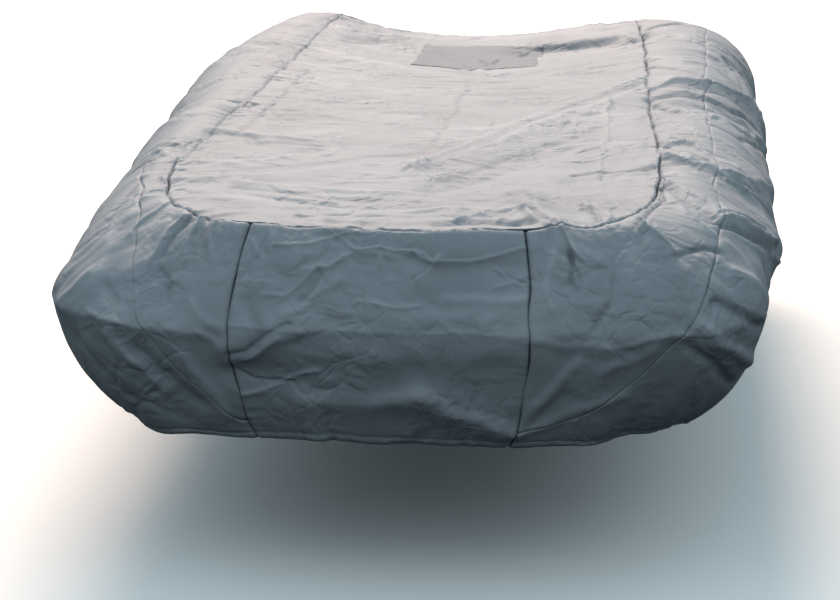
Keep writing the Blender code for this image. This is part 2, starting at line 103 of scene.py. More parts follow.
# Wrinkles: cells to the metre along x, y and z, and height.
DECK_WRINKLES = (((1.6, 7.0, 3.0), 0.0064), ((3.8, 16.0, 4.0), 0.0046), ((10.0, 27.0, 6.0), 0.0021))
SIDE_WRINKLES = (((4.0, 8.0, 3.0), 0.0060), ((6.0, 19.0, 5.0), 0.0026), ((18.0, 40.0, 14.0), 0.0008))
BOW_WRINKLES = (((3.0, 3.0, 3.5), 0.0042), ((7.0, 9.0, 9.0), 0.0020), ((18.0, 20.0, 26.0), 0.0010))

# Broad swells all over, in the same terms.
SWELL_CELLS = (4.2, 3.4, 4.2)
SWELL = 0.0030

# The deck's wrinkles take over as the cloth faces up, and the sides' as it faces out: slope and start.
TOP_SLOPE, TOP_START = 1.6, 0.3
SIDE_SLOPE, SIDE_START = 1.7, 0.5

# Patches of more and fewer wrinkles, in cells to the metre, and how much they differ.
PATCH_CELLS = 3.6
PATCH_CONTRAST = 1.1

# Each use of a noise reads it at a place of its own: shifts, and a shift for each metre of height.
SWIRL_SHIFT = 5.0
SLIP_SHIFT = 2.0
WRINKLE_SHIFT = 71000.0

# Gathers along a border: cells to the metre, share and shift of each layer, then of the stronger stretches.
GATHER_LAYERS = ((38.0, 1.0, 0.0), (80.0, 0.6, 9.0))
STRETCH_CELLS, STRETCH_SHIFT = 6.0, 3.0
STRETCH_MEAN, STRETCH_SWING = 0.6, 0.8

# The gathers rise from this far outside the edge, over this length, in metres.
GATHER_START = 0.004
GATHER_RISE = 0.006

# The hem's cord, in metres: distance from the edge, half width, swell. Then its stitching's groove: depth,
# half width.
HEM_CORD = 0.010
HEM_CORD_WIDTH = 0.008
HEM_SWELL = 0.0022
HEM_GROOVE = 0.0016
HEM_GROOVE_WIDTH = 0.0035

# A fine crease this high is lightest on its ridge, as wear, and darkest in its trough, as painted shade.
CREASE_TONE_HEIGHT = 0.004

# A seam this deep gets the darkest painted shade, with some dust, out to this far from its edge.
GROOVE_DEPTH = 0.007
GROOVE_WIDTH = 0.0026

# How far the cloth slips along itself, and over what lengths, in cells to the metre.
SLIP = 0.008
SLIP_CELLS = 8.0

# A seam's depth changes along it: cells to the metre, mean and swing as factors, and their limits.
SEAM_CELLS = 9.0
SEAM_MEAN, SEAM_SWING = 0.85, 0.9
SEAM_LIMITS = (0.25, 1.3)

# How much harder the seams are drawn in at the front, and how much more lightly to starboard. The first ends
# this far from the bow, and both fade over this length.
FRONT_PULL = 0.70
STARBOARD_EASE = 0.62
PULL_END = 0.85
PULL_FADE = 0.40

# Each edge stands back this far from its seam's line, and the patch lies this far above the deck, in metres.
SEAM_ROOM = 0.00015
PATCH_LIFT = 0.0020

# Rows of the grid beside an edge among which its stitching is looked for.
EDGE_ROWS = 24

# A name, then those columns: one row for each section, from the middle of the bow to that of the stern.
PORT_ROWS = (
    ("bow_centre",    0.000, 0.125, 0.000, 0.205, 0.000, -0.008, 0.31, 1.85, 0.000, 0.075, -0.281, 0.920),
    ("bow_quarter",   0.160, 0.128, 0.000, 0.205, 0.175, -0.005, 0.31, 1.85, 0.145, 0.077, -0.281, 0.910),
    ("bow_seam",      0.310, 0.135, 0.002, 0.206, 0.337,  0.000, 0.31, 1.80, 0.280, 0.083, -0.281, 0.895),
    ("front",         0.400, 0.150, 0.008, 0.208, 0.480,  0.003, 0.31, 1.70, 0.400, 0.097, -0.280, 0.825),
    ("front_corner",  0.470, 0.180, 0.015, 0.210, 0.620,  0.020, 0.31, 1.58, 0.510, 0.132, -0.279, 0.595),
    ("corner",        0.525, 0.240, 0.025, 0.213, 0.745,  0.075, 0.31, 1.40, 0.600, 0.195, -0.275, 0.390),
    ("corner_out",    0.555, 0.320, 0.035, 0.215, 0.825,  0.180, 0.30, 1.20, 0.665, 0.300, -0.275, 0.290),
    ("side_front",    0.580, 0.420, 0.045, 0.216, 0.860,  0.310, 0.29, 1.06, 0.705, 0.420, -0.275, 0.245),
    ("side_a",        0.600, 0.570, 0.050, 0.217, 0.868,  0.480, 0.29, 1.00, 0.730, 0.560, -0.275, 0.210),
    ("side_b",        0.600, 0.760, 0.052, 0.218, 0.872,  0.720, 0.29, 1.00, 0.740, 0.760, -0.275, 0.200),
    ("side_c",        0.590, 1.000, 0.060, 0.218, 0.888,  1.000, 0.29, 1.00, 0.745, 1.000, -0.275, 0.190),
    ("side_d",        0.570, 1.300, 0.070, 0.220, 0.882,  1.300, 0.29, 1.00, 0.745, 1.300, -0.275, 0.205),
    ("side_e",        0.552, 1.650, 0.080, 0.222, 0.885,  1.650, 0.29, 1.00, 0.745, 1.650, -0.275, 0.210),
    ("side_f",        0.537, 2.000, 0.088, 0.226, 0.878,  2.000, 0.29, 1.00, 0.745, 2.000, -0.275, 0.220),
    ("side_g",        0.521, 2.350, 0.095, 0.230, 0.868,  2.350, 0.29, 1.00, 0.745, 2.350, -0.275, 0.235),
    ("side_h",        0.508, 2.620, 0.100, 0.234, 0.862,  2.620, 0.29, 0.95, 0.740, 2.620, -0.275, 0.250),
    ("quarter",       0.497, 2.820, 0.105, 0.237, 0.864,  2.850, 0.29, 0.90, 0.735, 2.830, -0.275, 0.260),
    ("stern_corner",  0.490, 2.930, 0.088, 0.230, 0.822,  3.020, 0.30, 1.05, 0.700, 2.980, -0.275, 0.280),
    ("stern_out",     0.486, 3.000, 0.058, 0.222, 0.725,  3.110, 0.32, 1.05, 0.640, 3.070, -0.275, 0.290),
    ("stern_in",      0.483, 3.050, 0.026, 0.216, 0.600,  3.150, 0.34, 1.00, 0.560, 3.110, -0.275, 0.300),
    ("stern_seam",    0.480, 3.080, 0.006, 0.211, 0.480,  3.165, 0.36, 1.00, 0.460, 3.120, -0.275, 0.310),
    ("stern_quarter", 0.250, 3.085, 0.000, 0.176, 0.250,  3.170, 0.36, 1.00, 0.240, 3.125, -0.275, 0.310),
    ("stern_centre",  0.000, 3.080, 0.000, 0.150, 0.000,  3.165, 0.36, 1.00, 0.000, 3.120, -0.275, 0.310),
)
STARBOARD_ROWS = (
    ("bow_centre",    0.000, 0.125, 0.000, 0.205, 0.000, -0.008, 0.31, 1.85, 0.000, 0.075, -0.281, 0.920),
    ("bow_quarter",   0.160, 0.128, 0.000, 0.205, 0.175, -0.005, 0.31, 1.85, 0.145, 0.077, -0.281, 0.910),
    ("bow_seam",      0.303, 0.145, 0.002, 0.206, 0.337,  0.000, 0.31, 1.80, 0.280, 0.078, -0.281, 0.895),
    ("front",         0.370, 0.180, 0.008, 0.206, 0.460,  0.003, 0.31, 1.72, 0.390, 0.092, -0.280, 0.695),
    ("front_corner",  0.440, 0.220, 0.015, 0.208, 0.590,  0.020, 0.31, 1.62, 0.480, 0.097, -0.279, 0.380),
    ("corner",        0.500, 0.300, 0.022, 0.210, 0.700,  0.070, 0.31, 1.52, 0.560, 0.140, -0.278, 0.180),
    ("corner_out",    0.535, 0.370, 0.030, 0.212, 0.760,  0.160, 0.30, 1.42, 0.620, 0.240, -0.276, 0.110),
    ("side_front",    0.555, 0.460, 0.038, 0.214, 0.785,  0.290, 0.29, 1.36, 0.660, 0.380, -0.275, 0.100),
    ("side_a",        0.575, 0.600, 0.045, 0.216, 0.802,  0.460, 0.29, 1.35, 0.680, 0.540, -0.275, 0.120),
    ("side_b",        0.580, 0.780, 0.050, 0.218, 0.820,  0.700, 0.29, 1.35, 0.690, 0.740, -0.275, 0.150),
    ("side_c",        0.578, 1.000, 0.055, 0.218, 0.826,  1.000, 0.29, 1.30, 0.700, 1.000, -0.275, 0.180),
    ("side_d",        0.562, 1.300, 0.065, 0.220, 0.832,  1.300, 0.29, 1.20, 0.710, 1.300, -0.275, 0.200),
    ("side_e",        0.543, 1.650, 0.075, 0.222, 0.845,  1.650, 0.29, 1.10, 0.720, 1.650, -0.275, 0.210),
    ("side_f",        0.528, 2.000, 0.085, 0.226, 0.855,  2.000, 0.29, 1.00, 0.730, 2.000, -0.275, 0.220),
    ("side_g",        0.517, 2.350, 0.095, 0.230, 0.860,  2.350, 0.29, 1.00, 0.735, 2.350, -0.275, 0.235),
    ("side_h",        0.508, 2.620, 0.100, 0.234, 0.862,  2.620, 0.29, 1.10, 0.735, 2.620, -0.275, 0.250),
    ("quarter",       0.500, 2.820, 0.105, 0.237, 0.850,  2.850, 0.29, 1.35, 0.735, 2.830, -0.275, 0.260),
    ("stern_corner",  0.495, 2.930, 0.090, 0.234, 0.800,  3.020, 0.30, 1.35, 0.700, 2.980, -0.275, 0.280),
    ("stern_out",     0.490, 3.000, 0.060, 0.226, 0.715,  3.110, 0.32, 1.25, 0.640, 3.070, -0.275, 0.290),
    ("stern_in",      0.486, 3.050, 0.027, 0.217, 0.600,  3.150, 0.34, 1.10, 0.560, 3.110, -0.275, 0.300),
    ("stern_seam",    0.482, 3.080, 0.006, 0.211, 0.480,  3.165, 0.36, 1.00, 0.460, 3.120, -0.275, 0.310),
    ("stern_quarter", 0.250, 3.085, 0.000, 0.158, 0.250,  3.170, 0.36, 1.00, 0.240, 3.125, -0.275, 0.310),
    ("stern_centre",  0.000, 3.080, 0.000, 0.150, 0.000,  3.165, 0.36, 1.00, 0.000, 3.120, -0.275, 0.310),
)

# How far the middle of the deck hangs below its side seams: distance from the bow, sag.
DECK_SAG = (
    (0.13, 0.000),
    (0.30, 0.006),
    (0.60, 0.014),
    (1.00, 0.022),
    (1.80, 0.034),
    (2.40, 0.052),
    (2.72, 0.082),
    (2.88, 0.066),
    (3.08, 0.062),
)

# The deck's front and back edges follow the bow and stern sections, and that runs out over these lengths.
BOW_EDGE_FADE = 0.45
STERN_EDGE_FADE = 0.55

# Main folds: name, half width, height in metres, and line in centimetres. All are soft.
MAIN_FOLDS = (
    # Deck
    ("long_ridge", 0.050, 0.012, ((-3, 71, 20), (26, 146, 19), (52, 199, 21))),
    ("second_ridge", 0.045, 0.010, ((12, 92, 20), (32, 142, 20), (53, 180, 21))),
    ("trough_between", 0.050, -0.013, ((8, 56, 20), (25, 85, 20), (34, 106, 20))),
    ("front_fold", 0.040, -0.012, ((-39, 44, 21), (-17, 36, 21), (6, 34, 21))),
    ("front_ridge", 0.045, 0.009, ((-55, 53, 21), (-25, 64, 20), (0, 80, 20))),
    ("starboard_fold", 0.045, -0.011, ((-57, 109, 21), (-26, 95, 20))),
    ("starboard_pleat", 0.045, -0.009, ((-53, 151, 21), (-42, 140, 20))),
    ("corner_bunch", 0.040, 0.013, ((27, 50, 21), (38, 17, 21))),
    ("corner_dip", 0.040, -0.009, ((40, 66, 20), (58, 76, 21))),
    ("stern_step", 0.070, -0.026, ((16, 280, 16), (44, 272, 19))),
    ("patch_pucker", 0.045, -0.010, ((-2, 242, 16), (10, 236, 16))),
    # Port tube
    ("port_ridge", 0.055, 0.020, ((62, 183, 22), (77, 190, 18), (86, 206, 8))),
    ("port_pocket", 0.060, -0.018, ((60, 160, 22), (80, 166, 15))),
    ("port_dip", 0.040, -0.009, ((60, 108, 21), (72, 98, 21))),
    ("big_ridge", 0.050, 0.013, ((62, 90, 22), (76, 85, 20), (83, 99, 14), (88, 140, 2))),
    ("big_trough", 0.045, -0.010, ((61, 78, 21), (75, 71, 20), (86, 82, 8))),
    ("belly_ridge", 0.045, 0.014, ((76, 39, 18), (87, 69, 5), (88, 100, -3))),
    ("port_rear_crease", 0.050, -0.011, ((75, 243, 19), (85, 208, 11))),
    # Starboard tube
    ("starboard_front_ridge", 0.045, 0.012, ((-67, 10, 8), (-74, 12, 1))),
    ("starboard_dimple", 0.035, -0.009, ((-62, 6, 9), (-59, 3, 4))),
    ("starboard_shade", 0.045, -0.011, ((-60, 92, 22), (-65, 81, 21), (-74, 80, 16))),
    ("starboard_mid_ridge", 0.050, 0.012, ((-62, 140, 22), (-81, 130, 9))),
    ("starboard_mid_trough", 0.055, -0.012, ((-64, 185, 22), (-83, 172, 6))),
    ("starboard_rear_ridge", 0.055, 0.012, ((-65, 240, 22), (-84, 220, 7))),
    # Front corners and bow
    ("port_dart", 0.035, -0.009, ((54, 13, 20), (51, 3, 12), (49, 0, 1))),
    ("port_corner_ridge", 0.035, 0.010, ((57, 19, 21), (66, 10, 15))),
    ("starboard_dart", 0.035, -0.009, ((-46, 17, 20), (-49, 6, 14), (-47, 1, 5))),
    ("starboard_corner_pleat", 0.030, -0.008, ((-52, 30, 21), (-58, 16, 17))),
    ("bow_ridge", 0.035, 0.011, ((-33, 0, -5), (-19, -1, 2))),
    ("bow_trough", 0.035, -0.009, ((-33, 0, -10), (-18, 0, -13))),
    ("bow_top_trough", 0.030, -0.007, ((6, 6, 17), (13, 4, 15), (30, 5, 16))),
    ("bow_hem_ridge", 0.045, 0.011, ((9, 1, -15), (27, 4, -24))),
)

# Drapes down the skirts: side, place, half width, height.
DRAPES = (
    (1, 4.3, 0.045, -0.010),
    (1, 6.2, 0.050, 0.012),
    (1, 7.6, 0.045, -0.012),
    (1, 9.3, 0.060, 0.011),
    (1, 10.6, 0.055, -0.012),
    (1, 12.2, 0.060, -0.010),
    (1, 13.4, 0.055, 0.012),
    (1, 15.1, 0.060, -0.011),
    (1, 17.6, 0.050, 0.010),
    (-1, 4.1, 0.045, 0.009),
    (-1, 5.4, 0.045, -0.011),
    (-1, 6.7, 0.050, 0.011),
    (-1, 8.4, 0.055, -0.012),
    (-1, 9.8, 0.060, 0.010),
    (-1, 11.3, 0.060, -0.012),
    (-1, 12.9, 0.055, 0.011),
    (-1, 14.4, 0.060, -0.010),
    (-1, 16.6, 0.050, 0.011),
    (-1, 18.2, 0.045, -0.009),
)

# Each runs through these shares of its section.
DRAPE_SHARES = (0.48, 0.70, 0.97)


class Profile(Enum):
    """How a fold's cross-section runs out: rounded, or with a crisp ridge."""

    SOFT = "soft"
    CRISP = "crisp"


SOFT, CRISP = Profile.SOFT, Profile.CRISP

# Creases: name, half width, height in metres, profile, and line in centimetres.
CREASES = (
    # Deck
    ("packing_starboard", 0.0074, -0.004, CRISP, ((-45, 212, 20), (-48, 154, 20), (-50, 116, 20))),
    ("packing_pleat_far", 0.0074, 0.0034, CRISP, ((-58, 220, 23), (-54, 213, 22))),
    ("packing_pleat_near", 0.0087, 0.0046, CRISP, ((-54, 156, 20), (-47, 152, 20))),
    ("packing_port", 0.0074, 0.004, CRISP, ((44, 173, 21), (45, 124, 20), (45, 91, 20), (46, 61, 21))),
    ("packing_centre", 0.0074, -0.0034, CRISP, ((2, 208, 17), (2, 141, 18), (0, 97, 19), (-2, 70, 20))),
    ("pleat_dark", 0.0187, -0.0066, SOFT, (
        (-57, 114, 20), (-48, 113, 20), (-45, 107, 20), (-36, 107, 19), (-27, 106, 19),
    )),
    ("pleat_light", 0.0153, 0.0055, SOFT, ((-57, 118, 21), (-48, 116, 20), (-36, 113, 19), (-26, 113, 19))),
    ("front_dark", 0.0153, -0.0053, SOFT, (
        (-40, 49, 20), (-28, 47, 20), (-18, 43, 20), (-8, 42, 20), (5, 42, 20),
    )),
    ("front_light", 0.0187, 0.0066, SOFT, ((-40, 54, 21), (-25, 52, 20), (-10, 49, 20), (4, 49, 20))),
    ("light_fan_a", 0.0221, 0.0055, SOFT, ((-55, 52, 22), (-38, 61, 21), (-19, 78, 20), (0, 86, 20))),
    ("light_fan_b", 0.0187, 0.0044, SOFT, ((-57, 67, 21), (-39, 83, 20), (-22, 102, 19), (-5, 115, 19))),
    ("light_fan_c", 0.017, -0.0044, SOFT, ((-54, 63, 21), (-38, 73, 20), (-20, 88, 19), (-1, 102, 19))),
    ("long_a", 0.0179, 0.0046, SOFT, ((-3, 74, 21), (10, 116, 19), (26, 158, 19), (52, 197, 22))),
    ("long_b", 0.0198, 0.0055, SOFT, ((12, 97, 20), (32, 149, 20), (52, 179, 22))),
    ("long_dark", 0.0224, -0.0046, SOFT, ((7, 66, 19), (24, 97, 19), (33, 116, 19), (43, 134, 20))),
    ("long_dark_b", 0.0153, -0.0044, SOFT, ((3, 86, 20), (17, 123, 20), (34, 163, 20), (52, 189, 22))),
    ("short_a", 0.0087, -0.0057, CRISP, ((38, 105, 19), (44, 108, 20))),
    ("short_b", 0.0099, -0.0069, CRISP, ((44, 173, 21), (52, 178, 22))),
    ("corner_line", 0.0074, -0.0069, CRISP, ((39, 73, 20), (49, 77, 20), (59, 82, 20))),
    ("bunch_a", 0.0076, -0.0083, CRISP, ((31, 36, 22), (34, 25, 22), (38, 14, 21))),
    ("bunch_b", 0.0076, 0.0069, CRISP, ((30, 35, 21), (33, 24, 22), (37, 14, 21))),
    ("bunch_c", 0.0074, -0.0083, CRISP, ((43, 41, 21), (45, 32, 21), (48, 21, 21))),
    ("bunch_d", 0.0085, 0.0069, CRISP, ((44, 42, 21), (47, 34, 21), (50, 23, 21))),
    ("bunch_e", 0.0102, 0.0083, CRISP, ((15, 24, 20), (21, 32, 20), (28, 33, 21), (32, 32, 21))),
    ("bunch_f", 0.0085, 0.0055, CRISP, ((24, 24, 20), (26, 28, 21), (28, 31, 21))),
    ("bunch_g", 0.0272, -0.0132, SOFT, ((12, 19, 20), (21, 22, 20), (30, 21, 21))),
    ("front_slope", 0.0221, -0.0066, SOFT, ((-13, 18, 20), (-1, 17, 20), (7, 18, 20))),
    ("band_a", 0.0255, -0.0132, SOFT, ((20, 286, 16), (31, 283, 17), (40, 281, 18))),
    ("band_b", 0.0221, -0.0088, SOFT, ((-41, 267, 19), (-31, 280, 17), (-22, 284, 16))),
    ("bunch_h", 0.0136, -0.0066, SOFT, ((28, 22, 21), (31, 24, 21), (34, 19, 21))),
    ("bunch_i", 0.0069, -0.0069, CRISP, ((33, 44, 21), (36, 42, 21), (38, 37, 21))),
    ("step_dark", 0.0255, -0.0066, SOFT, ((-42, 273, 19), (-26, 287, 16), (-7, 289, 15))),
    ("step_dark_b", 0.0204, -0.0066, SOFT, ((18, 286, 15), (34, 284, 17), (50, 274, 21))),
    ("stern_light", 0.0255, 0.0066, SOFT, (
        (-45, 283, 20), (-25, 295, 16), (-6, 299, 15), (17, 300, 16), (43, 299, 20),
    )),
    ("patch_knot", 0.0112, -0.0069, CRISP, ((1, 268, 14), (5, 248, 16), (6, 268, 14))),
    ("patch_knot_b", 0.0136, 0.0066, SOFT, ((1, 242, 15), (8, 225, 17), (13, 235, 16))),
    ("rear_wave_a", 0.0255, 0.0044, SOFT, ((-44, 242, 20), (-22, 236, 17), (1, 217, 17))),
    ("rear_wave_b", 0.0221, -0.0044, SOFT, ((28, 222, 18), (39, 231, 19), (51, 232, 21))),
    ("mid_wave_a", 0.0238, 0.0044, SOFT, ((-44, 164, 20), (-26, 155, 19), (-7, 151, 18))),
    ("mid_wave_b", 0.0204, -0.0044, SOFT, ((-40, 152, 19), (-22, 142, 19), (-2, 137, 18))),
    ("mid_wave_c", 0.0187, 0.0033, SOFT, ((-32, 195, 19), (-10, 185, 18), (7, 184, 18))),
    ("mid_wave_d", 0.017, -0.0039, SOFT, ((-33, 183, 19), (-12, 174, 18), (5, 170, 18))),
    ("front_wave_a", 0.0153, 0.0044, SOFT, ((-34, 32, 20), (-17, 33, 19), (-1, 35, 19), (15, 35, 20))),
    ("front_wave_b", 0.0136, -0.0044, SOFT, ((-21, 23, 20), (-5, 24, 20), (11, 28, 20), (25, 27, 20))),
    # Port tube
    ("port_a", 0.0112, 0.011, CRISP, (
        (55, 177, 22), (62, 182, 23), (69, 183, 23), (77, 190, 19), (86, 208, 10),
    )),
    ("port_a_dark", 0.017, -0.0123, SOFT, (
        (55, 168, 21), (63, 171, 22), (70, 172, 21), (79, 175, 17), (85, 184, 10),
    )),
    ("port_pocket_a", 0.0153, -0.0106, SOFT, ((57, 163, 21), (60, 159, 21), (63, 147, 22))),
    ("port_b", 0.0087, 0.0092, CRISP, ((59, 112, 21), (65, 108, 21), (71, 103, 20))),
    ("port_b_dark", 0.0119, -0.0088, SOFT, ((60, 106, 21), (65, 89, 23), (71, 86, 23))),
    ("port_c", 0.0124, 0.0055, CRISP, ((60, 90, 22), (67, 82, 22), (74, 82, 21), (82, 91, 16), (87, 114, 8))),
    ("port_c_dark", 0.017, -0.0053, SOFT, (
        (61, 85, 22), (67, 80, 21), (75, 78, 19), (84, 87, 12), (88, 96, 6),
    )),
    ("port_d", 0.0074, 0.0074, CRISP, ((61, 66, 21), (67, 49, 22), (74, 43, 20))),
    ("port_d_dark", 0.0102, -0.007, SOFT, ((61, 58, 21), (67, 42, 21), (73, 36, 19))),
    ("port_e", 0.0112, 0.0129, CRISP, ((75, 37, 19), (80, 43, 15), (87, 64, 7))),
    ("port_e_dark", 0.0136, -0.0106, SOFT, ((75, 33, 18), (80, 37, 14), (86, 56, 6))),
    ("port_f", 0.0087, 0.0092, CRISP, ((57, 20, 21), (61, 17, 18), (65, 14, 15))),
    ("port_g", 0.0087, -0.0092, CRISP, ((65, 14, 15), (70, 21, 16), (74, 23, 14))),
    ("port_rear_dark", 0.017, -0.0106, SOFT, ((51, 280, 22), (56, 285, 23), (63, 288, 23))),
    ("port_rear_crease", 0.0153, -0.0106, SOFT, ((76, 251, 19), (81, 240, 13), (85, 211, 10))),
    ("port_h", 0.0136, 0.007, SOFT, ((54, 228, 22), (63, 220, 23), (73, 221, 20))),
    ("port_i", 0.0119, -0.007, SOFT, ((54, 216, 21), (63, 207, 23), (72, 203, 21))),
    ("port_j", 0.0136, 0.007, SOFT, ((72, 147, 20), (80, 152, 16), (87, 194, 2))),
    ("port_k", 0.0119, -0.007, SOFT, ((73, 135, 20), (80, 137, 16), (88, 184, 0))),
    ("port_low_a", 0.0136, 0.0088, SOFT, ((77, 20, 11), (82, 23, 7), (85, 24, 3))),
    ("port_low_b", 0.0136, -0.0106, SOFT, ((73, 11, 6), (78, 13, 2), (83, 21, -2))),
    ("port_low_c", 0.0153, 0.0106, SOFT, ((70, 8, 2), (75, 10, -3), (81, 24, -11))),
    ("port_low_d", 0.0136, -0.0088, SOFT, ((68, 6, -3), (73, 9, -7), (77, 22, -16))),
    ("port_dart_a", 0.0074, -0.0092, CRISP, ((61, 66, 21), (61, 46, 21), (58, 26, 21), (56, 20, 21))),
    ("port_dart_b", 0.0074, -0.0092, CRISP, (
        (56, 20, 21), (54, 16, 19), (52, 11, 15), (51, 7, 11), (50, 4, 6), (48, 2, 1),
    )),
    ("port_l", 0.01, 0.0092, CRISP, ((62, 115, 22), (69, 103, 21), (79, 93, 18))),
    ("port_m", 0.01, 0.0074, CRISP, ((59, 101, 21), (67, 84, 23), (74, 81, 21))),
    ("port_n", 0.01, 0.0092, CRISP, ((76, 79, 19), (81, 82, 15), (86, 91, 10))),
    ("port_o", 0.01, 0.0092, CRISP, ((74, 39, 20), (79, 47, 16), (87, 65, 7))),
    ("port_p", 0.012, 0.0092, CRISP, ((74, 32, 18), (81, 36, 13), (88, 76, -1))),
    ("port_q", 0.01, 0.0074, CRISP, ((62, 43, 22), (67, 33, 20), (73, 27, 17))),
    ("port_r", 0.009, 0.0055, CRISP, ((60, 158, 21), (66, 148, 22), (72, 141, 21))),
    ("port_s", 0.009, 0.0055, CRISP, ((60, 130, 22), (67, 126, 22), (72, 120, 21))),
    # Front corner port
    ("corner_b", 0.0076, 0.0069, CRISP, ((38, 18, 22), (40, 13, 20), (42, 11, 17))),
    ("corner_c", 0.0093, -0.0083, CRISP, ((42, 10, 16), (46, 9, 15), (51, 8, 12))),
    ("corner_h", 0.0085, -0.0055, CRISP, ((34, 10, 16), (38, 9, 16), (41, 10, 17))),
    ("corner_i", 0.0076, 0.0055, CRISP, ((40, 13, 20), (42, 11, 18), (43, 10, 16))),
    ("corner_d", 0.0076, -0.0055, CRISP, ((41, 12, 19), (42, 9, 15), (44, 7, 11))),
    ("corner_e", 0.0085, 0.0069, CRISP, ((59, 19, 20), (62, 16, 17), (64, 14, 15))),
    ("corner_f", 0.0102, 0.0083, CRISP, ((57, 20, 21), (54, 16, 19), (51, 8, 12), (50, 5, 7))),
    ("corner_g", 0.0102, 0.0055, CRISP, ((37, 9, 15), (36, 6, 10), (38, 3, 5))),
    ("corner_a", 0.0074, 0.0069, CRISP, ((35, 10, 16), (40, 9, 15))),
    ("corner_v_a", 0.0074, 0.0083, CRISP, ((43, 10, 17), (46, 9, 15), (51, 8, 12))),
    ("corner_v_b", 0.0074, -0.0083, CRISP, ((42, 10, 16), (42, 8, 14), (42, 6, 11))),
    ("corner_dimple", 0.0136, -0.0055, SOFT, ((42, 6, 10), (43, 5, 9))),
    ("equator_port_a", 0.0087, 0.0046, CRISP, ((34, 0, -1), (42, 1, -2), (50, 2, -2))),
    ("equator_port_b", 0.0087, 0.0046, CRISP, ((50, 2, -2), (57, 3, -1), (63, 4, 0), (67, 5, 0))),
    ("lower_port_a", 0.0136, 0.0055, SOFT, ((44, 1, -6), (37, 3, -15), (29, 5, -24))),
    ("lower_port_b", 0.0136, 0.0055, SOFT, ((54, 5, -14), (42, 5, -19), (30, 5, -24))),
    ("lower_port_c", 0.0136, -0.0044, SOFT, ((47, 2, -10), (38, 4, -17), (30, 5, -23))),
    ("lower_port_d", 0.0153, 0.0044, SOFT, ((60, 3, -3), (51, 2, -7), (43, 3, -13))),
    # Bow panel
    ("bow_a", 0.0053, 0.0039, CRISP, ((-10, 11, 18), (-7, 9, 16), (-2, 10, 17), (8, 10, 16))),
    ("bow_b", 0.0053, 0.0039, CRISP, ((4, 10, 17), (10, 9, 16), (12, 8, 14), (19, 9, 14), (32, 11, 17))),
    ("bow_c", 0.0046, -0.0031, CRISP, ((8, 6, 11), (12, 8, 14))),
    ("bow_d", 0.0053, 0.0039, CRISP, ((25, 8, 13), (30, 6, 10), (33, 6, 10))),
    ("bow_e", 0.0053, 0.0039, CRISP, ((-26, 4, 7), (-22, 4, 7), (-14, 7, 12))),
    ("bow_f", 0.0136, 0.0044, SOFT, ((-21, 1, 4), (-9, 5, 10))),
    ("bow_g", 0.0053, -0.0055, CRISP, ((-34, 1, -6), (-30, 1, -5), (-20, 0, 2))),
    ("bow_g_light", 0.0119, 0.0044, SOFT, ((-34, 1, -8), (-29, 1, -7), (-18, -1, 0))),
    ("bow_h", 0.0053, -0.0047, CRISP, ((-33, 1, -9), (-28, 2, -12), (-19, 2, -13))),
    ("bow_i", 0.0053, 0.0039, CRISP, ((-25, 10, 16), (-17, 10, 17), (-9, 12, 19), (-6, 12, 20))),
    ("bow_j", 0.0306, 0.0044, SOFT, ((9, 1, -16), (18, 4, -20), (27, 5, -24))),
    ("bow_k", 0.0187, -0.0044, SOFT, ((-11, 1, 2), (5, 0, 0), (20, 0, 1))),
    ("bow_l", 0.0255, 0.0055, SOFT, ((-18, 3, -17), (-2, 3, -19), (9, 2, -16))),
    ("bow_m", 0.017, -0.0044, SOFT, ((-29, 3, 6), (-26, -1, 0), (-27, 0, -4))),
    ("bow_n", 0.0136, 0.0044, SOFT, ((14, 3, 7), (24, 3, 6), (32, 4, 7))),
    ("bow_equator", 0.0289, 0.0044, SOFT, ((-34, 1, -4), (-17, 0, -5), (0, 0, -5), (18, 0, -4), (34, 1, -3))),
    ("bow_o", 0.0085, 0.0046, CRISP, ((-9, 8, 14), (-12, 6, 11), (-14, 4, 8))),
    ("bow_p", 0.0085, -0.0046, CRISP, ((-10, 7, 13), (-14, 5, 9), (-18, 3, 6))),
    ("bow_q", 0.0102, 0.0046, CRISP, ((-22, -1, -2), (-26, 0, -5), (-29, 1, -7))),
    ("bow_r", 0.0085, 0.004, CRISP, ((-18, 6, 12), (-12, 7, 12), (-8, 8, 15))),
    ("bow_s", 0.0076, 0.004, CRISP, ((7, 10, 16), (12, 8, 14), (13, 9, 15))),
    ("bow_t", 0.0076, 0.0046, CRISP, ((9, 6, 11), (11, 7, 13), (13, 8, 15))),
    ("bow_u", 0.0085, 0.004, CRISP, ((25, 5, 9), (28, 6, 10), (31, 7, 12))),
    ("bow_v", 0.0085, -0.0046, CRISP, ((27, 7, 12), (30, 6, 11), (32, 6, 10))),
    ("bow_w", 0.0074, 0.0046, CRISP, ((-31, 3, -16), (-22, 2, -13), (-14, 1, -9))),
    ("bow_x", 0.0255, 0.0044, SOFT, ((0, 3, -18), (9, 1, -15), (18, 3, -19), (26, 4, -23))),
    ("bow_y", 0.0085, 0.0034, CRISP, ((-30, 11, 17), (-27, 8, 13), (-27, 5, 9))),
    ("bow_z", 0.0085, 0.0034, CRISP, ((-4, 3, 6), (4, 2, 5), (9, 2, 6))),
    # Starboard corner
    ("starboard_pleat_a", 0.0074, 0.0057, CRISP, ((-52, 32, 21), (-56, 26, 19), (-59, 21, 16))),
    ("starboard_pleat_b", 0.0074, -0.0069, CRISP, ((-45, 21, 20), (-48, 15, 16), (-50, 11, 13))),
    ("starboard_pleat_c", 0.0074, 0.0057, CRISP, ((-42, 20, 20), (-44, 14, 16), (-44, 10, 13))),
    ("starboard_pleat_d", 0.0102, -0.0044, SOFT, ((-40, 20, 21), (-41, 13, 17), (-40, 9, 13))),
    ("starboard_dark", 0.0087, -0.0069, CRISP, ((-62, 96, 21), (-67, 88, 20), (-73, 84, 15))),
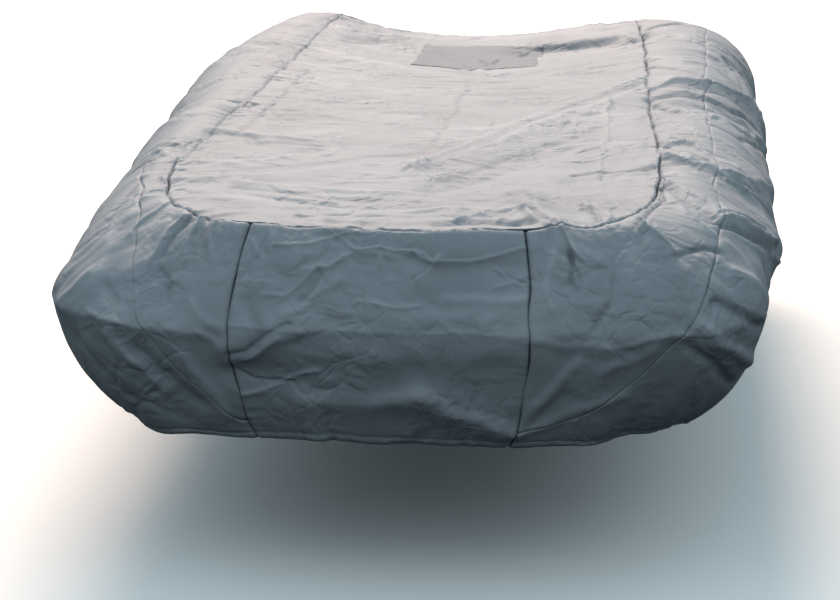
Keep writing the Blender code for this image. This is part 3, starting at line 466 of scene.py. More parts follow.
    ("starboard_short", 0.0062, 0.0046, CRISP, ((-58, 53, 22), (-55, 45, 21))),
    ("starboard_ridge", 0.0124, 0.008, CRISP, ((-67, 13, 8), (-70, 12, 4), (-73, 14, 1))),
    ("starboard_dimple_a", 0.0119, -0.0055, SOFT, ((-63, 9, 7), (-59, 5, 4))),
    ("starboard_equator_a", 0.0087, 0.0057, CRISP, (
        (-66, 6, 1), (-63, 4, 0), (-55, 2, -1), (-45, 1, -1), (-40, 1, -1),
    )),
    ("starboard_equator_b", 0.0087, 0.0046, CRISP, ((-40, 1, -1), (-37, 0, -3), (-35, 1, -5))),
    ("starboard_dart_a", 0.0087, -0.0057, CRISP, ((-50, 9, 11), (-48, 8, 10), (-47, 4, 5))),
    ("starboard_low_a", 0.0153, 0.0055, SOFT, ((-61, 3, -4), (-54, 3, -10), (-49, 3, -15))),
    ("starboard_low_b", 0.0153, -0.0055, SOFT, ((-54, 2, -6), (-46, 3, -13), (-40, 4, -19))),
    ("starboard_low_c", 0.017, 0.0055, SOFT, ((-45, 1, -7), (-39, 3, -14), (-35, 5, -21))),
    ("starboard_low_d", 0.0153, -0.0044, SOFT, ((-69, 10, -7), (-63, 7, -13), (-57, 6, -18))),
    ("starboard_e", 0.01, 0.0046, CRISP, ((-47, 22, 20), (-50, 17, 17), (-53, 10, 12))),
    ("starboard_f", 0.01, 0.0046, CRISP, ((-38, 18, 21), (-39, 13, 17), (-39, 9, 13))),
    ("starboard_g", 0.01, 0.0034, CRISP, ((-34, 16, 20), (-35, 11, 16), (-35, 8, 13))),
    ("starboard_h", 0.012, 0.0046, CRISP, ((-58, 36, 21), (-61, 30, 19), (-63, 23, 15))),
    ("starboard_i", 0.01, 0.0034, CRISP, ((-41, 3, 5), (-39, 1, 2), (-36, 1, 0))),
    ("starboard_up_a", 0.0153, 0.0044, SOFT, ((-66, 34, 17), (-64, 19, 13), (-65, 12, 9))),
    ("starboard_up_b", 0.0136, -0.0044, SOFT, ((-64, 55, 21), (-66, 40, 18), (-66, 26, 15))),
    ("starboard_up_c", 0.0136, 0.0044, SOFT, ((-66, 91, 20), (-59, 75, 21), (-57, 67, 21))),
)

# How much larger than its drawn shape a panel was cut, for the ease taken up by its folds, and the metres of
# cloth turned in at its edges. Its cut size is that of a typical row or column, this far up in a hundred.
EASE = 1.02
TURNED_IN = 0.03
TYPICAL = 90.0


@dataclass(frozen=True)
class EdgeShape:
    """How the cloth lies along one kind of edge, in metres.

    Attributes:
        depth: how far the edge is drawn down.
        half_width: how far from the edge that has run out by two thirds.
        pucker: height of the small gathers beside it.
        reach: how far from the edge those have run out by two thirds.
        turn: the turned edge, as (depth below the cloth, distance back from the edge).
        stitch: distance of the stitching from the edge.
    """

    depth: float
    half_width: float
    pucker: float
    reach: float
    turn: tuple[tuple[float, float], ...]
    stitch: float


OVER_TURN = ((0.0034, 0.0),)
UNDER_TURN = ((0.0040, 0.0), (0.0043, -0.0045))
PATCH_TURN = ((0.0012, 0.0), (0.0026, 0.0003))
HEM_TURN = ((0.0015, -0.0012), (0.0030, 0.0004), (0.0034, 0.006), (0.0034, 0.014), (0.0030, 0.022))


class Edge(Enum):
    """The kinds of edge that a panel has."""

    DECK_SEAM = EdgeShape(0.0060, 0.0040, 0.0056, 0.050, OVER_TURN, 0.0070)
    DECK_SEAM_UNDER = replace(DECK_SEAM, turn=UNDER_TURN)
    BOW_EDGE = EdgeShape(0.0024, 0.0046, 0.0056, 0.050, OVER_TURN, 0.0070)
    BOW_EDGE_UNDER = replace(BOW_EDGE, turn=UNDER_TURN)
    LONG_SEAM = EdgeShape(0.0019, 0.0036, 0.0032, 0.040, OVER_TURN, 0.0065)
    LONG_SEAM_UNDER = replace(LONG_SEAM, turn=UNDER_TURN)
    UPRIGHT_SEAM = EdgeShape(0.0037, 0.0044, 0.0028, 0.040, OVER_TURN, 0.0070)
    UPRIGHT_SEAM_UNDER = replace(UPRIGHT_SEAM, turn=UNDER_TURN)
    PATCH_EDGE = EdgeShape(0.0008, 0.0060, 0.0020, 0.045, PATCH_TURN, 0.0050)
    HEM = EdgeShape(0.0000, 0.0060, 0.0040, 0.075, HEM_TURN, 0.0215)


class Part(Enum):
    """Parts of a side, from the deck seam down."""

    SHOULDER = "between the deck seam and the long seam"
    SKIRT = "between the long seam and the hem"
    WHOLE = "between the deck seam and the hem"


def unit(vectors: Array) -> Array:
    """The same directions at length 1."""
    return vectors / np.maximum(np.linalg.norm(vectors, axis=-1, keepdims=True), 1e-12)


def smooth(share: Array) -> Array:
    """A soft step from 0 to 1."""
    share = np.clip(share, 0.0, 1.0)
    return share * share * (3.0 - 2.0 * share)


def run_lengths(grid: Array, axis: int) -> Array:
    """How far along its row or column each point of a grid lies.

    Args:
        grid: points, shaped (rows, columns, 3).
        axis: 0 to measure down the columns, 1 to measure along the rows.

    Returns:
        Lengths from the grid's first row or column, shaped (rows, columns).
    """
    steps = np.linalg.norm(np.diff(grid, axis=axis), axis=-1)
    pad = [(1, 0), (0, 0)] if axis == 0 else [(0, 0), (1, 0)]
    return np.pad(np.cumsum(steps, axis=axis), pad)


def cell_normals(grid: Array) -> Array:
    """The direction that each cell of a grid faces, twice as long as the cell's area."""
    return np.cross(grid[1:, 1:] - grid[:-1, :-1], grid[:-1, 1:] - grid[1:, :-1])


def corner_normals(grid: Array) -> Array:
    """The summed directions of the cells that meet at each corner of a grid.

    Args:
        grid: points, shaped (rows, columns, 3).

    Returns:
        Directions, not yet at length 1.
    """
    cells = cell_normals(grid)
    total = np.zeros_like(grid)
    for corner in (total[:-1, :-1], total[1:, :-1], total[1:, 1:], total[:-1, 1:]):
        corner += cells
    return total


def sampled(line: Array, marks: Array) -> Array:
    """Points of a line at the given lengths along it.

    Args:
        line: points of the line, or lists of any three values at them.
        marks: lengths along the line.

    Returns:
        One row for each mark.
    """
    lengths = np.concatenate([[0.0], np.cumsum(np.linalg.norm(np.diff(line, axis=0), axis=1))])
    return np.stack([np.interp(marks, lengths, line[:, axis]) for axis in range(line.shape[1])], axis=1)


class Noise:
    """Seeded gradient noise in space, about -1 to 1, the same in each run.

    Attributes:
        SIZE: how many directions are drawn.
        GAIN: brings the values to about -1 to 1.
        RIDGE_SLOPE: how steeply the ridged noise falls off.
        SHIFTS: how far apart it is read for the three parts of a drift.
    """

    SIZE = 256
    GAIN = 1.8
    RIDGE_SLOPE = 2.2
    SHIFTS = (0.0, 31.0, 67.0)

    def __init__(self, seed: int) -> None:
        """Draws the directions at the cells' corners.

        Args:
            seed: any whole number; each gives another noise.
        """
        draw = np.random.default_rng(seed)
        self.directions = unit(draw.normal(size=(self.SIZE, 3)))
        self.order = draw.permutation(self.SIZE)

    def __call__(self, points: Array) -> Array:
        """The noise's value at each point, one unit to a cell.

        Args:
            points: where to read it, in cells.

        Returns:
            One value for each point.
        """
        cell = np.floor(points).astype(int)
        local = points - cell
        fade = local**3 * (local * (local * 6.0 - 15.0) + 10.0)
        total = np.zeros(points.shape[:-1])
        for corner in np.ndindex(2, 2, 2):
            key = (cell + corner) % self.SIZE
            drawn = self.order[(self.order[key[..., 0]] + key[..., 1]) % self.SIZE]
            drawn = self.order[(drawn + key[..., 2]) % self.SIZE]
            slopes = np.sum(self.directions[drawn] * (local - corner), axis=-1)
            weight = np.prod(np.where(np.array(corner) == 1, fade, 1.0 - fade), axis=-1)
            total += weight * slopes
        return self.GAIN * total

    def ridged(self, points: Array) -> Array:
        """Narrow ridges where the noise crosses zero, -0.5 to 0.5."""
        return 0.5 - np.minimum(self.RIDGE_SLOPE * np.abs(self(points)), 1.0)

    def drift(self, points: Array, cells: float) -> Array:
        """A wandering shift for each point, with so many cells to the metre."""
        return np.stack([self(points * cells + shift) for shift in self.SHIFTS], axis=-1)


@dataclass(frozen=True)
class Side:
    """One side of the cover, as its section table draws it.

    Attributes:
        sign: 1 for port, -1 for starboard.
        rows: the table's rows, each with its name first.
    """

    sign: int
    rows: tuple

    def at(self, places: Array) -> dict[str, Array]:
        """The table's columns at the places, on smooth curves through its rows.

        Args:
            places: places along the side, in rows of the table.

        Returns:
            An array for each column name, one value a place.
        """
        rows = np.array([row[1:] for row in self.rows])
        steps = np.diff(rows, axis=0)
        steepest = STEEPEST_SLOPE * np.minimum(abs(steps[1:]), abs(steps[:-1]))
        crosses = np.array([name in MIRRORED_COLUMNS for name in SECTION_COLUMNS])
        slopes = np.empty_like(rows)
        slopes[1:-1] = np.clip((steps[1:] + steps[:-1]) / 2.0, -steepest, steepest)
        slopes[0] = np.where(crosses, steps[0], 0.0)
        slopes[-1] = np.where(crosses, steps[-1], 0.0)
        first = np.minimum(places.astype(int), len(rows) - 2)
        t = (places - first)[:, None]
        values = (
            (2 * t**3 - 3 * t**2 + 1) * rows[first]
            + (t**3 - 2 * t**2 + t) * slopes[first]
            + (3 * t**2 - 2 * t**3) * rows[first + 1]
            + (t**3 - t**2) * slopes[first + 1]
        )
        return dict(zip(SECTION_COLUMNS, values.T))

    def section_lines(self, places: Array) -> Array:
        """The sections at the places, from the deck seam over the tube to the hem.

        Args:
            places: places along the side, in rows of the table.

        Returns:
            Points, shaped (places, steps, 3).
        """
        at = {name: value[:, None] for name, value in self.at(places).items()}
        seam = np.stack([at["seam_x"], at["seam_y"]], axis=-1)
        belly = np.stack([at["belly_x"], at["belly_y"]], axis=-1)
        hem = np.stack([at["hem_x"], at["hem_y"]], axis=-1)
        reach = np.linalg.norm(belly - seam, axis=-1) - at["crest_out"]
        start = -np.arcsin(at["crest_out"] / reach)
        turn = start + np.linspace(0.0, 1.0, SECTION_STEPS) * (math.pi / 2 - start)
        slack = np.where(turn > 0, at["slack"], 1.0)
        across = np.sign(turn) * np.abs(np.sin(turn)) ** slack
        height = at["crest"] * np.abs(np.cos(turn)) ** slack
        share = ((across - np.sin(start)) / (1.0 - np.sin(start)))[..., None]
        upper = np.concatenate([seam + share * (belly - seam), height[..., None]], axis=-1)
        end = np.arcsin(-at["hem_z"] / at["fall"])
        turn = np.linspace(0.0, 1.0, SECTION_STEPS)[1:] * end
        height = -at["fall"] * np.sin(turn)
        share = (1.0 - TUCK) * (1.0 - np.cos(turn)) / (1.0 - np.cos(end)) + TUCK * np.sin(turn) / np.sin(end)
        share = share[..., None]
        lower = np.concatenate([belly + share * (hem - belly), height[..., None]], axis=-1)
        lines = np.concatenate([upper, lower], axis=1)
        lines[..., 0] *= self.sign
        return lines

    def shares(self, places: Array, part: Part, steps: Array) -> Array:
        """Steps 0 to 1 down a part of the side, as shares of each whole section.

        Args:
            places: places along the side.
            part: the part of the side.
            steps: steps down that part.

        Returns:
            Shares, shaped (places, steps).
        """
        seam = self.at(places)["long_seam"][:, None]
        if part is Part.SHOULDER:
            return steps * seam
        if part is Part.SKIRT:
            return seam + steps * (1.0 - seam)
        return steps + 0.0 * seam

    def skin(self, places: Array, shares: Array) -> Array:
        """Points of the side.

        Args:
            places: places along the side, in rows of the table.
            shares: shares of the way from deck seam to hem, shaped (places, columns).

        Returns:
            Points, shaped (places, columns, 3).
        """
        points = np.empty(shares.shape + (3,))
        for row, line in enumerate(self.section_lines(places)):
            length = np.linalg.norm(np.diff(line, axis=0), axis=1).sum()
            points[row] = sampled(line, shares[row] * length)
        return points


PORT = Side(1, PORT_ROWS)
STARBOARD = Side(-1, STARBOARD_ROWS)


class Form:
    """The cover's drawn shape: where the cloth lies before its folds, and which way it faces."""

    def __init__(self) -> None:
        """Works out the outward directions, shared along the deck seam, at places that lie apart."""
        self.places = self._places()
        self.levels = np.linspace(0.0, 2.0, 2 * LEVEL_CELLS + 1)
        self.columns = np.linspace(-1.0, 1.0, 2 * HALF_BOW_CELLS + 1)
        self.side_facings: dict[int, Array] = {}
        self.deck_facings = self._find_facings()

    @staticmethod
    def _places() -> Array:
        """The places at which directions are worked out.

        Returns:
            Places from the middle of the bow to the middle of the stern.
        """
        places = list(np.linspace(0, BOW_SEAM_PLACE, HALF_BOW_CELLS + 1))
        for start, cells in enumerate(CELLS_BETWEEN_PLACES, BOW_SEAM_PLACE):
            places += [start + (step + 1) / cells for step in range(cells)]
        places += list(np.linspace(STERN_SEAM_PLACE, LAST_PLACE, HALF_BOW_CELLS + 1))[1:]
        return np.array(places)

    def deck_places(self) -> Array:
        """Those places between the ends of the deck's side seams."""
        return self.places[HALF_BOW_CELLS : len(self.places) - HALF_BOW_CELLS]

    def deck(self, places: Array, across: Array) -> Array:
        """Points of the deck.

        Args:
            places: places of the rows, from BOW_SEAM_PLACE to STERN_SEAM_PLACE.
            across: columns, -1 at the starboard seam to 1 at the port seam.

        Returns:
            Points, shaped (places, columns, 3).
        """
        coarse = self.deck_places()
        rank = np.interp(places, coarse, np.linspace(0.0, 1.0, len(coarse)))
        ends = self._between_seams(coarse[[0, -1]], across)
        flat = self._between_seams(places, across)
        start, end = ends[:, :, 1].mean(axis=1)
        along = start + rank * (end - start)
        middle = flat[:, [0, -1], 1].mean(axis=1)
        flat[:, :, 1] += (along - middle)[:, None] * (1.0 - across**4)
        for rows in (flat, ends):
            sag = np.interp(rows[:, :, 1], *np.array(DECK_SAG).T)
            rows[:, :, 2] -= sag * (1.0 - across**2)
        along = along[:, None, None]
        bow_share = 1.0 - smooth((along - start) / BOW_EDGE_FADE)
        stern_share = 1.0 - smooth((end - along) / STERN_EDGE_FADE)
        bow_rest = self._deck_end(across, False) - ends[0]
        stern_rest = self._deck_end(across, True) - ends[1]
        return flat + bow_share * bow_rest + stern_share * stern_rest

    @staticmethod
    def _between_seams(places: Array, across: Array) -> Array:
        """Straight rows from the starboard deck seam to the port one.

        Args:
            places: places of the rows.
            across: columns, -1 at the starboard seam to 1 at the port seam.

        Returns:
            Points, shaped (places, columns, 3).
        """
        top = np.zeros((len(places), 1))
        left, right = STARBOARD.skin(places, top), PORT.skin(places, top)
        return (left + right) / 2.0 + across[None, :, None] * (right - left) / 2.0

    @staticmethod
    def _deck_end(across: Array, stern: bool) -> Array:
        """The deck's front or back edge, as the bow or stern sections start there.

        Args:
            across: columns, -1 at the starboard seam to 1 at the port seam.
            stern: whether it is the back edge.

        Returns:
            One point for each column.
        """
        offsets = np.abs(across) * BOW_SEAM_PLACE
        places = LAST_PLACE - offsets if stern else offsets
        top = np.zeros((len(places), 1))
        port, starboard = PORT.skin(places, top)[:, 0], STARBOARD.skin(places, top)[:, 0]
        return np.where(across[:, None] >= 0, port, starboard)

    def _find_facings(self) -> Array:
        """Finds the sides' outward directions, keeps them, and gives the deck's.

        Returns:
            The deck's directions, shaped (places, columns, 3).
        """
        sides = []
        for side in (PORT, STARBOARD):
            upper = side.shares(self.places, Part.SHOULDER, self.levels[: LEVEL_CELLS + 1])
            lower = side.shares(self.places, Part.SKIRT, self.levels[LEVEL_CELLS + 1 :] - 1.0)
            sides.append(side.skin(self.places, np.hstack([upper, lower])))
        port, starboard = sides
        ring = np.concatenate([port, starboard[-2:0:-1]])
        ring_total = -corner_normals(np.concatenate([ring, ring[:1]]))
        ring_total[0] += ring_total[-1]
        ring_total = ring_total[:-1]
        deck_total = -corner_normals(self.deck(self.deck_places(), self.columns))
        half = len(ring) // 2
        around = np.arange(-HALF_BOW_CELLS, HALF_BOW_CELLS + 1)
        bow, stern = around % len(ring), half - around
        right = np.arange(HALF_BOW_CELLS, half - HALF_BOW_CELLS + 1)
        left = len(ring) - right
        shared = ring_total[:, 0].copy()
        np.add.at(shared, bow, deck_total[0])
        np.add.at(shared, stern, deck_total[-1])
        np.add.at(shared, right[1:-1], deck_total[1:-1, -1])
        np.add.at(shared, left[1:-1], deck_total[1:-1, 0])
        ring_total[:, 0] = shared
        deck_total[0], deck_total[-1] = shared[bow], shared[stern]
        deck_total[:, -1], deck_total[:, 0] = shared[right], shared[left]
        ring_total = unit(ring_total)
        self.side_facings[PORT.sign] = ring_total[: half + 1]
        self.side_facings[STARBOARD.sign] = np.concatenate([ring_total[:1], ring_total[: half - 1 : -1]])
        return unit(deck_total)

    @staticmethod
    def _read(values: Array, rows: Array, columns: Array) -> Array:
        """Directions of a grid read between its rows and columns, whose numbers are given with fractions.

        Args:
            values: the grid's directions.
            rows: row numbers.
            columns: column numbers in each row.

        Returns:
            Directions, one for each of those.
        """
        low = np.minimum(rows.astype(int), len(values) - 2)
        part = (rows - low)[:, None, None]
        lines = values[low] * (1.0 - part) + values[low + 1] * part
        low = np.minimum(columns.astype(int), values.shape[1] - 2)
        part = (columns - low)[..., None]
        near = np.take_along_axis(lines, low[..., None], axis=1)
        far = np.take_along_axis(lines, low[..., None] + 1, axis=1)
        return unit(near * (1.0 - part) + far * part)

    def side_facing(self, side: Side, places: Array, shares: Array) -> Array:
        """Outward directions of one side.

        Args:
            side: the side.
            places: places along it.
            shares: shares of the way from deck seam to hem, shaped (places, columns).

        Returns:
            Directions, shaped (places, columns, 3).
        """
        seam = side.at(places)["long_seam"][:, None]
        level = np.where(shares < seam, shares / seam, 1.0 + (shares - seam) / (1.0 - seam))
        rows = np.interp(places, self.places, np.arange(len(self.places)))
        return self._read(self.side_facings[side.sign], rows, level * LEVEL_CELLS)

    def deck_facing(self, places: Array, across: Array) -> Array:
        """Outward directions of the deck at the places and columns.

        Args:
            places: places of the rows.
            across: columns, -1 at the starboard seam to 1 at the port seam.

        Returns:
            Directions, shaped (places, columns, 3).
        """
        coarse = self.deck_places()
        rows = np.interp(places, coarse, np.arange(len(coarse)))
        columns = np.broadcast_to((across + 1.0) * HALF_BOW_CELLS, (len(places), len(across)))
        return self._read(self.deck_facings, rows, columns)


@dataclass(frozen=True)
class Fold:
    """A ridge (height above 0) or trough (below 0) along a line.

    Attributes:
        name: what the fold is.
        half_width: distance from the line at which it has run out by about two thirds.
        height: rise of the cloth along the line.
        profile: how its cross-section runs out.
        line: points of the line, in metres.
    """

    name: str
    half_width: float
    height: float
    profile: Profile
    line: Array

    @classmethod
    def drawn(cls, name: str, half_width: float, height: float, profile: Profile, line: tuple) -> "Fold":
        """A fold from a row of a table, whose line is in centimetres."""
        return cls(name, half_width, height, profile, np.array(line) / 100.0)

    def rise(self, points: Array, facing: Array) -> Array:
        """How far the fold lifts the cloth.

        Args:
            points: points of the cloth.
            facing: outward directions there; distances from the line are measured square to them.

        Returns:
            Heights along those directions.
        """
        reach = FOLD_REACH * self.half_width
        box = reach + LIFT_ROOM
        low, high = self.line.min(axis=0) - box, self.line.max(axis=0) + box
        near = np.all((points > low) & (points < high), axis=-1)
        chosen, out = points[near], facing[near]
        nearest = np.full(len(chosen), reach)
        for start, end in zip(self.line[:-1], self.line[1:]):
            run = end - start
            share = np.clip((chosen - start) @ run / max(run @ run, 1e-9), 0.0, 1.0)
            away = chosen - start - share[:, None] * run
            lifted = np.clip(np.sum(away * out, axis=-1), -LIFT_ROOM, LIFT_ROOM)
            away = np.linalg.norm(away - lifted[:, None] * out, axis=-1)
            if self.profile is Profile.CRISP:
                beyond = np.sum(np.cross(run, chosen - start) * out, axis=-1)
                away = away * np.where(beyond > 0, STEEP_SIDE, GENTLE_SIDE)
            nearest = np.minimum(nearest, away)
        rise = np.zeros(points.shape[:-1])
        rise[near] = self.height * self._fade(nearest / self.half_width)
        return rise

    def _fade(self, distance: Array) -> Array:
        """The cross-section at distances counted in half widths.

        Args:
            distance: distances from the line.

        Returns:
            Shares of the fold's height.
        """
        if self.profile is Profile.SOFT:
            return np.exp(-(distance**2))
        peak = np.exp(-CRISP_FALL * (np.sqrt(distance**2 + CRISP_TIP**2) - CRISP_TIP))
        return peak * (1.0 - smooth(distance / FOLD_REACH))


class Relief:
    """Everything that lifts or sinks the cloth away from its drawn shape, all over the cover."""

    def __init__(self) -> None:
        """Gathers the folds and sets up the noises."""
        self.main = [Fold.drawn(*row[:3], SOFT, row[3]) for row in MAIN_FOLDS]
        self.main += [self._drape(*row) for row in DRAPES]
        self.fine = [Fold.drawn(*row) for row in CREASES]
        self.bend = Noise(3)
        self.broad = Noise(11)
        self.wrinkle = Noise(23)
        self.crumple = Noise(37)

    @staticmethod
    def _drape(sign: int, place: float, half_width: float, height: float) -> Fold:
        """A soft fold down a skirt, from the tube's shoulder to the hem.

        Args:
            sign: the side's sign.
            place: place along that side.
            half_width: its half width.
            height: its height.

        Returns:
            The fold.
        """
        side = PORT if sign > 0 else STARBOARD
        line = side.skin(np.array([place]), np.array([DRAPE_SHARES]))[0]
        return Fold("drape", half_width, height, SOFT, line)

    def rise(self, points: Array, facing: Array) -> tuple[Array, Array]:
        """How far the folds, creases and wrinkles lift the cloth.

        Args:
            points: points of the drawn shape.
            facing: outward directions there.

        Returns:
            Heights along those directions, of everything and of the fine creases and wrinkles alone.
        """
        main = sum(fold.rise(points, facing) for fold in self.main)
        lifted = points + main[..., None] * facing
        bent = lifted + WANDER * self.bend.drift(points, WANDER_CELLS)
        fine = sum(fold.rise(bent, facing) for fold in self.fine) + self._wrinkles(points, facing)
        return main + fine, fine

    def _wrinkles(self, points: Array, facing: Array) -> Array:
        """Small wrinkles that run with the pull of the cloth: across the deck, and down the sides.

        Args:
            points: points of the drawn shape.
            facing: outward directions there.

        Returns:
            Heights along those directions.
        """
        top = smooth(facing[..., 2] * TOP_SLOPE - TOP_START)
        side = smooth(np.abs(facing[..., 0]) * SIDE_SLOPE - SIDE_START) * (1.0 - top)
        front = 1.0 - top - side
        swirl = points + SWIRL * self.bend.drift(points + SWIRL_SHIFT, SWIRL_CELLS)
        total = SWELL * self.broad(points * SWELL_CELLS)
        for weight, rows in ((top, DECK_WRINKLES), (side, SIDE_WRINKLES), (front, BOW_WRINKLES)):
            for cells, height in rows:
                shift = WRINKLE_SHIFT * height
                strength = smooth(0.5 + PATCH_CONTRAST * self.broad(points * PATCH_CELLS + shift))
                total = total + weight * strength * height * self.wrinkle.ridged(swirl * cells + shift)
        return total

    def slip(self, points: Array, facing: Array) -> Array:
        """How far the cloth has slipped along itself, so that no seam runs quite straight.

        Args:
            points: points of the drawn shape.
            facing: outward directions there.

        Returns:
            A move along the cloth for each point.
        """
        drift = SLIP * self.bend.drift(points + SLIP_SHIFT, SLIP_CELLS)
        return drift - np.sum(drift * facing, axis=-1, keepdims=True) * facing

    def gathers(self, border: Array) -> Array:
        """Height of the small gathers along a border, about -1 to 1.

        Args:
            border: points along the border.

        Returns:
            One height for each point.
        """
        gather = sum(share * self.crumple(border * cells + shift) for cells, share, shift in GATHER_LAYERS)
        stretch = self.broad(border * STRETCH_CELLS + STRETCH_SHIFT)
        return gather * (STRETCH_MEAN + STRETCH_SWING * stretch)


def new_mesh(name: str, points: Array, faces: Array) -> bpy.types.Object:
    """Makes an object, shaded smooth.

    Args:
        name: the object's name.
        points: its corners.
        faces: its faces, all with the same number of corners.

    Returns:
        The object.
    """
    mesh = bpy.data.meshes.new(name)
    mesh.vertices.add(len(points))
    mesh.vertices.foreach_set("co", points.ravel())
    mesh.loops.add(faces.size)
    mesh.loops.foreach_set("vertex_index", faces.ravel().astype(np.int32))
    mesh.polygons.add(len(faces))
    mesh.polygons.foreach_set("loop_start", np.arange(0, faces.size, faces.shape[1], dtype=np.int32))
    mesh.update(calc_edges=True)
    mesh.shade_smooth()
    made = bpy.data.objects.new(name, mesh)
    bpy.context.scene.collection.objects.link(made)
    return made


def seam_pull(places: Array) -> Array:
    """How hard the thread draws a seam in: hardest at the front corners, lightly along the starboard side.

    Args:
        places: points of the drawn shape.

    Returns:
        A factor on the seam's depth for each point.
    """
    front = smooth((PULL_END - places[..., 1]) / PULL_FADE)
    starboard = smooth(0.5 - places[..., 0] / PULL_FADE)
    return 1.0 + FRONT_PULL * front - STARBOARD_EASE * starboard * (1.0 - front)


@dataclass
class Panel:
    """One cut and sewn piece of cloth: a grid of points with their outward directions.

    Attributes:
        name: the piece's name.
        node: the solid that it stands for.
        held: how the cloth is held; not used.
        rests_on: the pieces that carry it; not used.
        points: the drawn shape, shaped (rows, columns, 3).
        facing: outward directions, shaped as points.
        edges: its edges at the first row, the last row, the first column and the last column.
        lift: height above the drawn shape, for a panel that lies on another.
        folded: the cloth as it lies in its folds.
        crease_wear_and_shade: from -1, painted shade in a trough, to 1, a ridge that is lighter with wear.
        groove_shade: how deep it lies in a seam, from 0 to about 1, for the painted shade in the groove.
    """

    name: str
    node: str
    held: str
    rests_on: tuple[str, ...]
    points: Array
    facing: Array
    edges: tuple[Edge, Edge, Edge, Edge]
    lift: float = 0.0
    folded: Array = field(init=False)
    crease_wear_and_shade: Array = field(init=False)
    groove_shade: Array = field(init=False)

    def fold(self, relief: Relief) -> None:
        """Lays the cloth in its folds, and draws it down and gathers it along its edges.

        Args:
            relief: the folds, creases and wrinkles.
        """
        rise, fine = relief.rise(self.points, self.facing)
        down, along = run_lengths(self.points, 0), run_lengths(self.points, 1)
        ways = (down, down[-1] - down, along, along[:, -1:] - along)
        borders = (self.points[:1], self.points[-1:], self.points[:, :1], self.points[:, -1:])
        self.groove_shade = np.zeros(rise.shape)
        for edge, away, border in zip(self.edges, ways, borders):
            shape = edge.value
            grip = 1.0 - np.exp(-(away + GATHER_START) / GATHER_RISE)
            gather = shape.pucker * relief.gathers(border) * np.exp(-away / shape.reach) * grip
            fine = fine + gather
            uneven = np.clip(SEAM_MEAN + SEAM_SWING * relief.crumple(border * SEAM_CELLS), *SEAM_LIMITS)
            drawn = shape.depth * seam_pull(border) * uneven
            # Painted shade, with some dust, darkens the bottom of the seam's groove.
            self.groove_shade += drawn / GROOVE_DEPTH * np.exp(-((away / GROOVE_WIDTH) ** 2))
            rise = rise + gather - drawn * np.exp(-((away / shape.half_width) ** 2))
            if edge is Edge.HEM:
                cord = HEM_SWELL * np.exp(-(((away - HEM_CORD) / HEM_CORD_WIDTH) ** 2))
                groove = HEM_GROOVE * np.exp(-(((away - shape.stitch) / HEM_GROOVE_WIDTH) ** 2))
                rise = rise + cord - groove
        # Crease tone: lighter on the ridges as wear, darker in the troughs as painted shade.
        self.crease_wear_and_shade = np.clip(fine / CREASE_TONE_HEIGHT, -1.0, 1.0)
        slipped = self.points + relief.slip(self.points, self.facing)
        self.folded = slipped + (rise + self.lift)[..., None] * self.facing

    def cut_size(self) -> tuple[float, float, float]:
        """The cloth's width, length and area when flat, in metres and square metres.

        Returns:
            The width, the length and the area.
        """
        area = np.linalg.norm(cell_normals(self.points), axis=-1).sum() / 2.0
        width = np.percentile(run_lengths(self.points, 1)[:, -1], TYPICAL) + TURNED_IN
        length = np.percentile(run_lengths(self.points, 0)[-1], TYPICAL) + TURNED_IN
        return float(width * EASE), float(length * EASE), float(area * EASE**2)

    def mesh(self) -> bpy.types.Object:
        """Makes the panel's object in the part's own frame, with its edges turned.

        Returns:
            The object.
        """
        wear_and_shade = np.stack([self.crease_wear_and_shade, np.minimum(self.groove_shade, 1.0)], axis=-1)
        flat = np.stack([run_lengths(self.points, 1), run_lengths(self.points, 0)], axis=-1)
        layers = [self.folded, self.facing, wear_and_shade, flat]
        for number, edge in enumerate(self.edges):
            grid, *others = self._from_edge(layers, number)
            turned = self._turned(grid, others[0], edge.value.turn)
            added = len(turned) - len(grid)
            others = [np.concatenate([np.repeat(layer[:1], added, axis=0), layer]) for layer in others]
            layers = self._to_edge([turned, *others], number)
        grid, facing, wear_and_shade, flat = layers
        rows, columns = grid.shape[:2]
        index = np.arange(rows * columns).reshape(rows, columns)
        corners = [index[:-1, :-1], index[1:, :-1], index[1:, 1:], index[:-1, 1:]]
        if np.sum(corner_normals(grid) * facing) > 0:
            corners.reverse()
        faces = np.stack(corners, axis=-1).reshape(-1, 4)
        made = new_mesh(self.name, grid.reshape(-1, 3) - ORIGIN, faces)
        for name, values in zip(("crease_wear_and_shade", "groove_shade"), np.moveaxis(wear_and_shade, -1, 0)):
            wear = made.data.attributes.new(name, "FLOAT", "POINT")
            wear.data.foreach_set("value", values.ravel())
        layer = made.data.uv_layers.new(name="cut")
        layer.data.foreach_set("uv", flat.reshape(-1, 2)[faces.ravel()].ravel())
        return made

    @staticmethod
    def _from_edge(layers: Sequence[Array], number: int) -> list[Array]:
        """The arrays laid so that the edge with this number is their first row."""
        laid = [np.moveaxis(layer, number // 2, 0) for layer in layers]
        return [layer[::-1] for layer in laid] if number % 2 else laid

    @staticmethod
    def _to_edge(layers: Sequence[Array], number: int) -> list[Array]:
        """The arrays laid back, so that their first row is the edge with this number again."""
        laid = [layer[::-1] for layer in layers] if number % 2 else layers
        return [np.moveaxis(layer, 0, number // 2) for layer in laid]

    @staticmethod
    def _turned(grid: Array, facing: Array, turn: tuple[tuple[float, float], ...]) -> Array:
        """The grid with rows added before its first, turned under as an edge is.

        Args:
            grid: points, with the edge in the first row.
            facing: outward directions there.
            turn: the turned edge, as EdgeShape gives it.

        Returns:
            The longer grid.
        """
        inward = grid[2] - grid[0]
        inward = unit(inward - np.sum(inward * facing[0], axis=-1, keepdims=True) * facing[0])
        grid = grid.copy()
        grid[0] += inward * SEAM_ROOM
        rows = [grid[0] - facing[0] * depth + inward * back for depth, back in reversed(turn)]
        return np.concatenate([rows, grid])

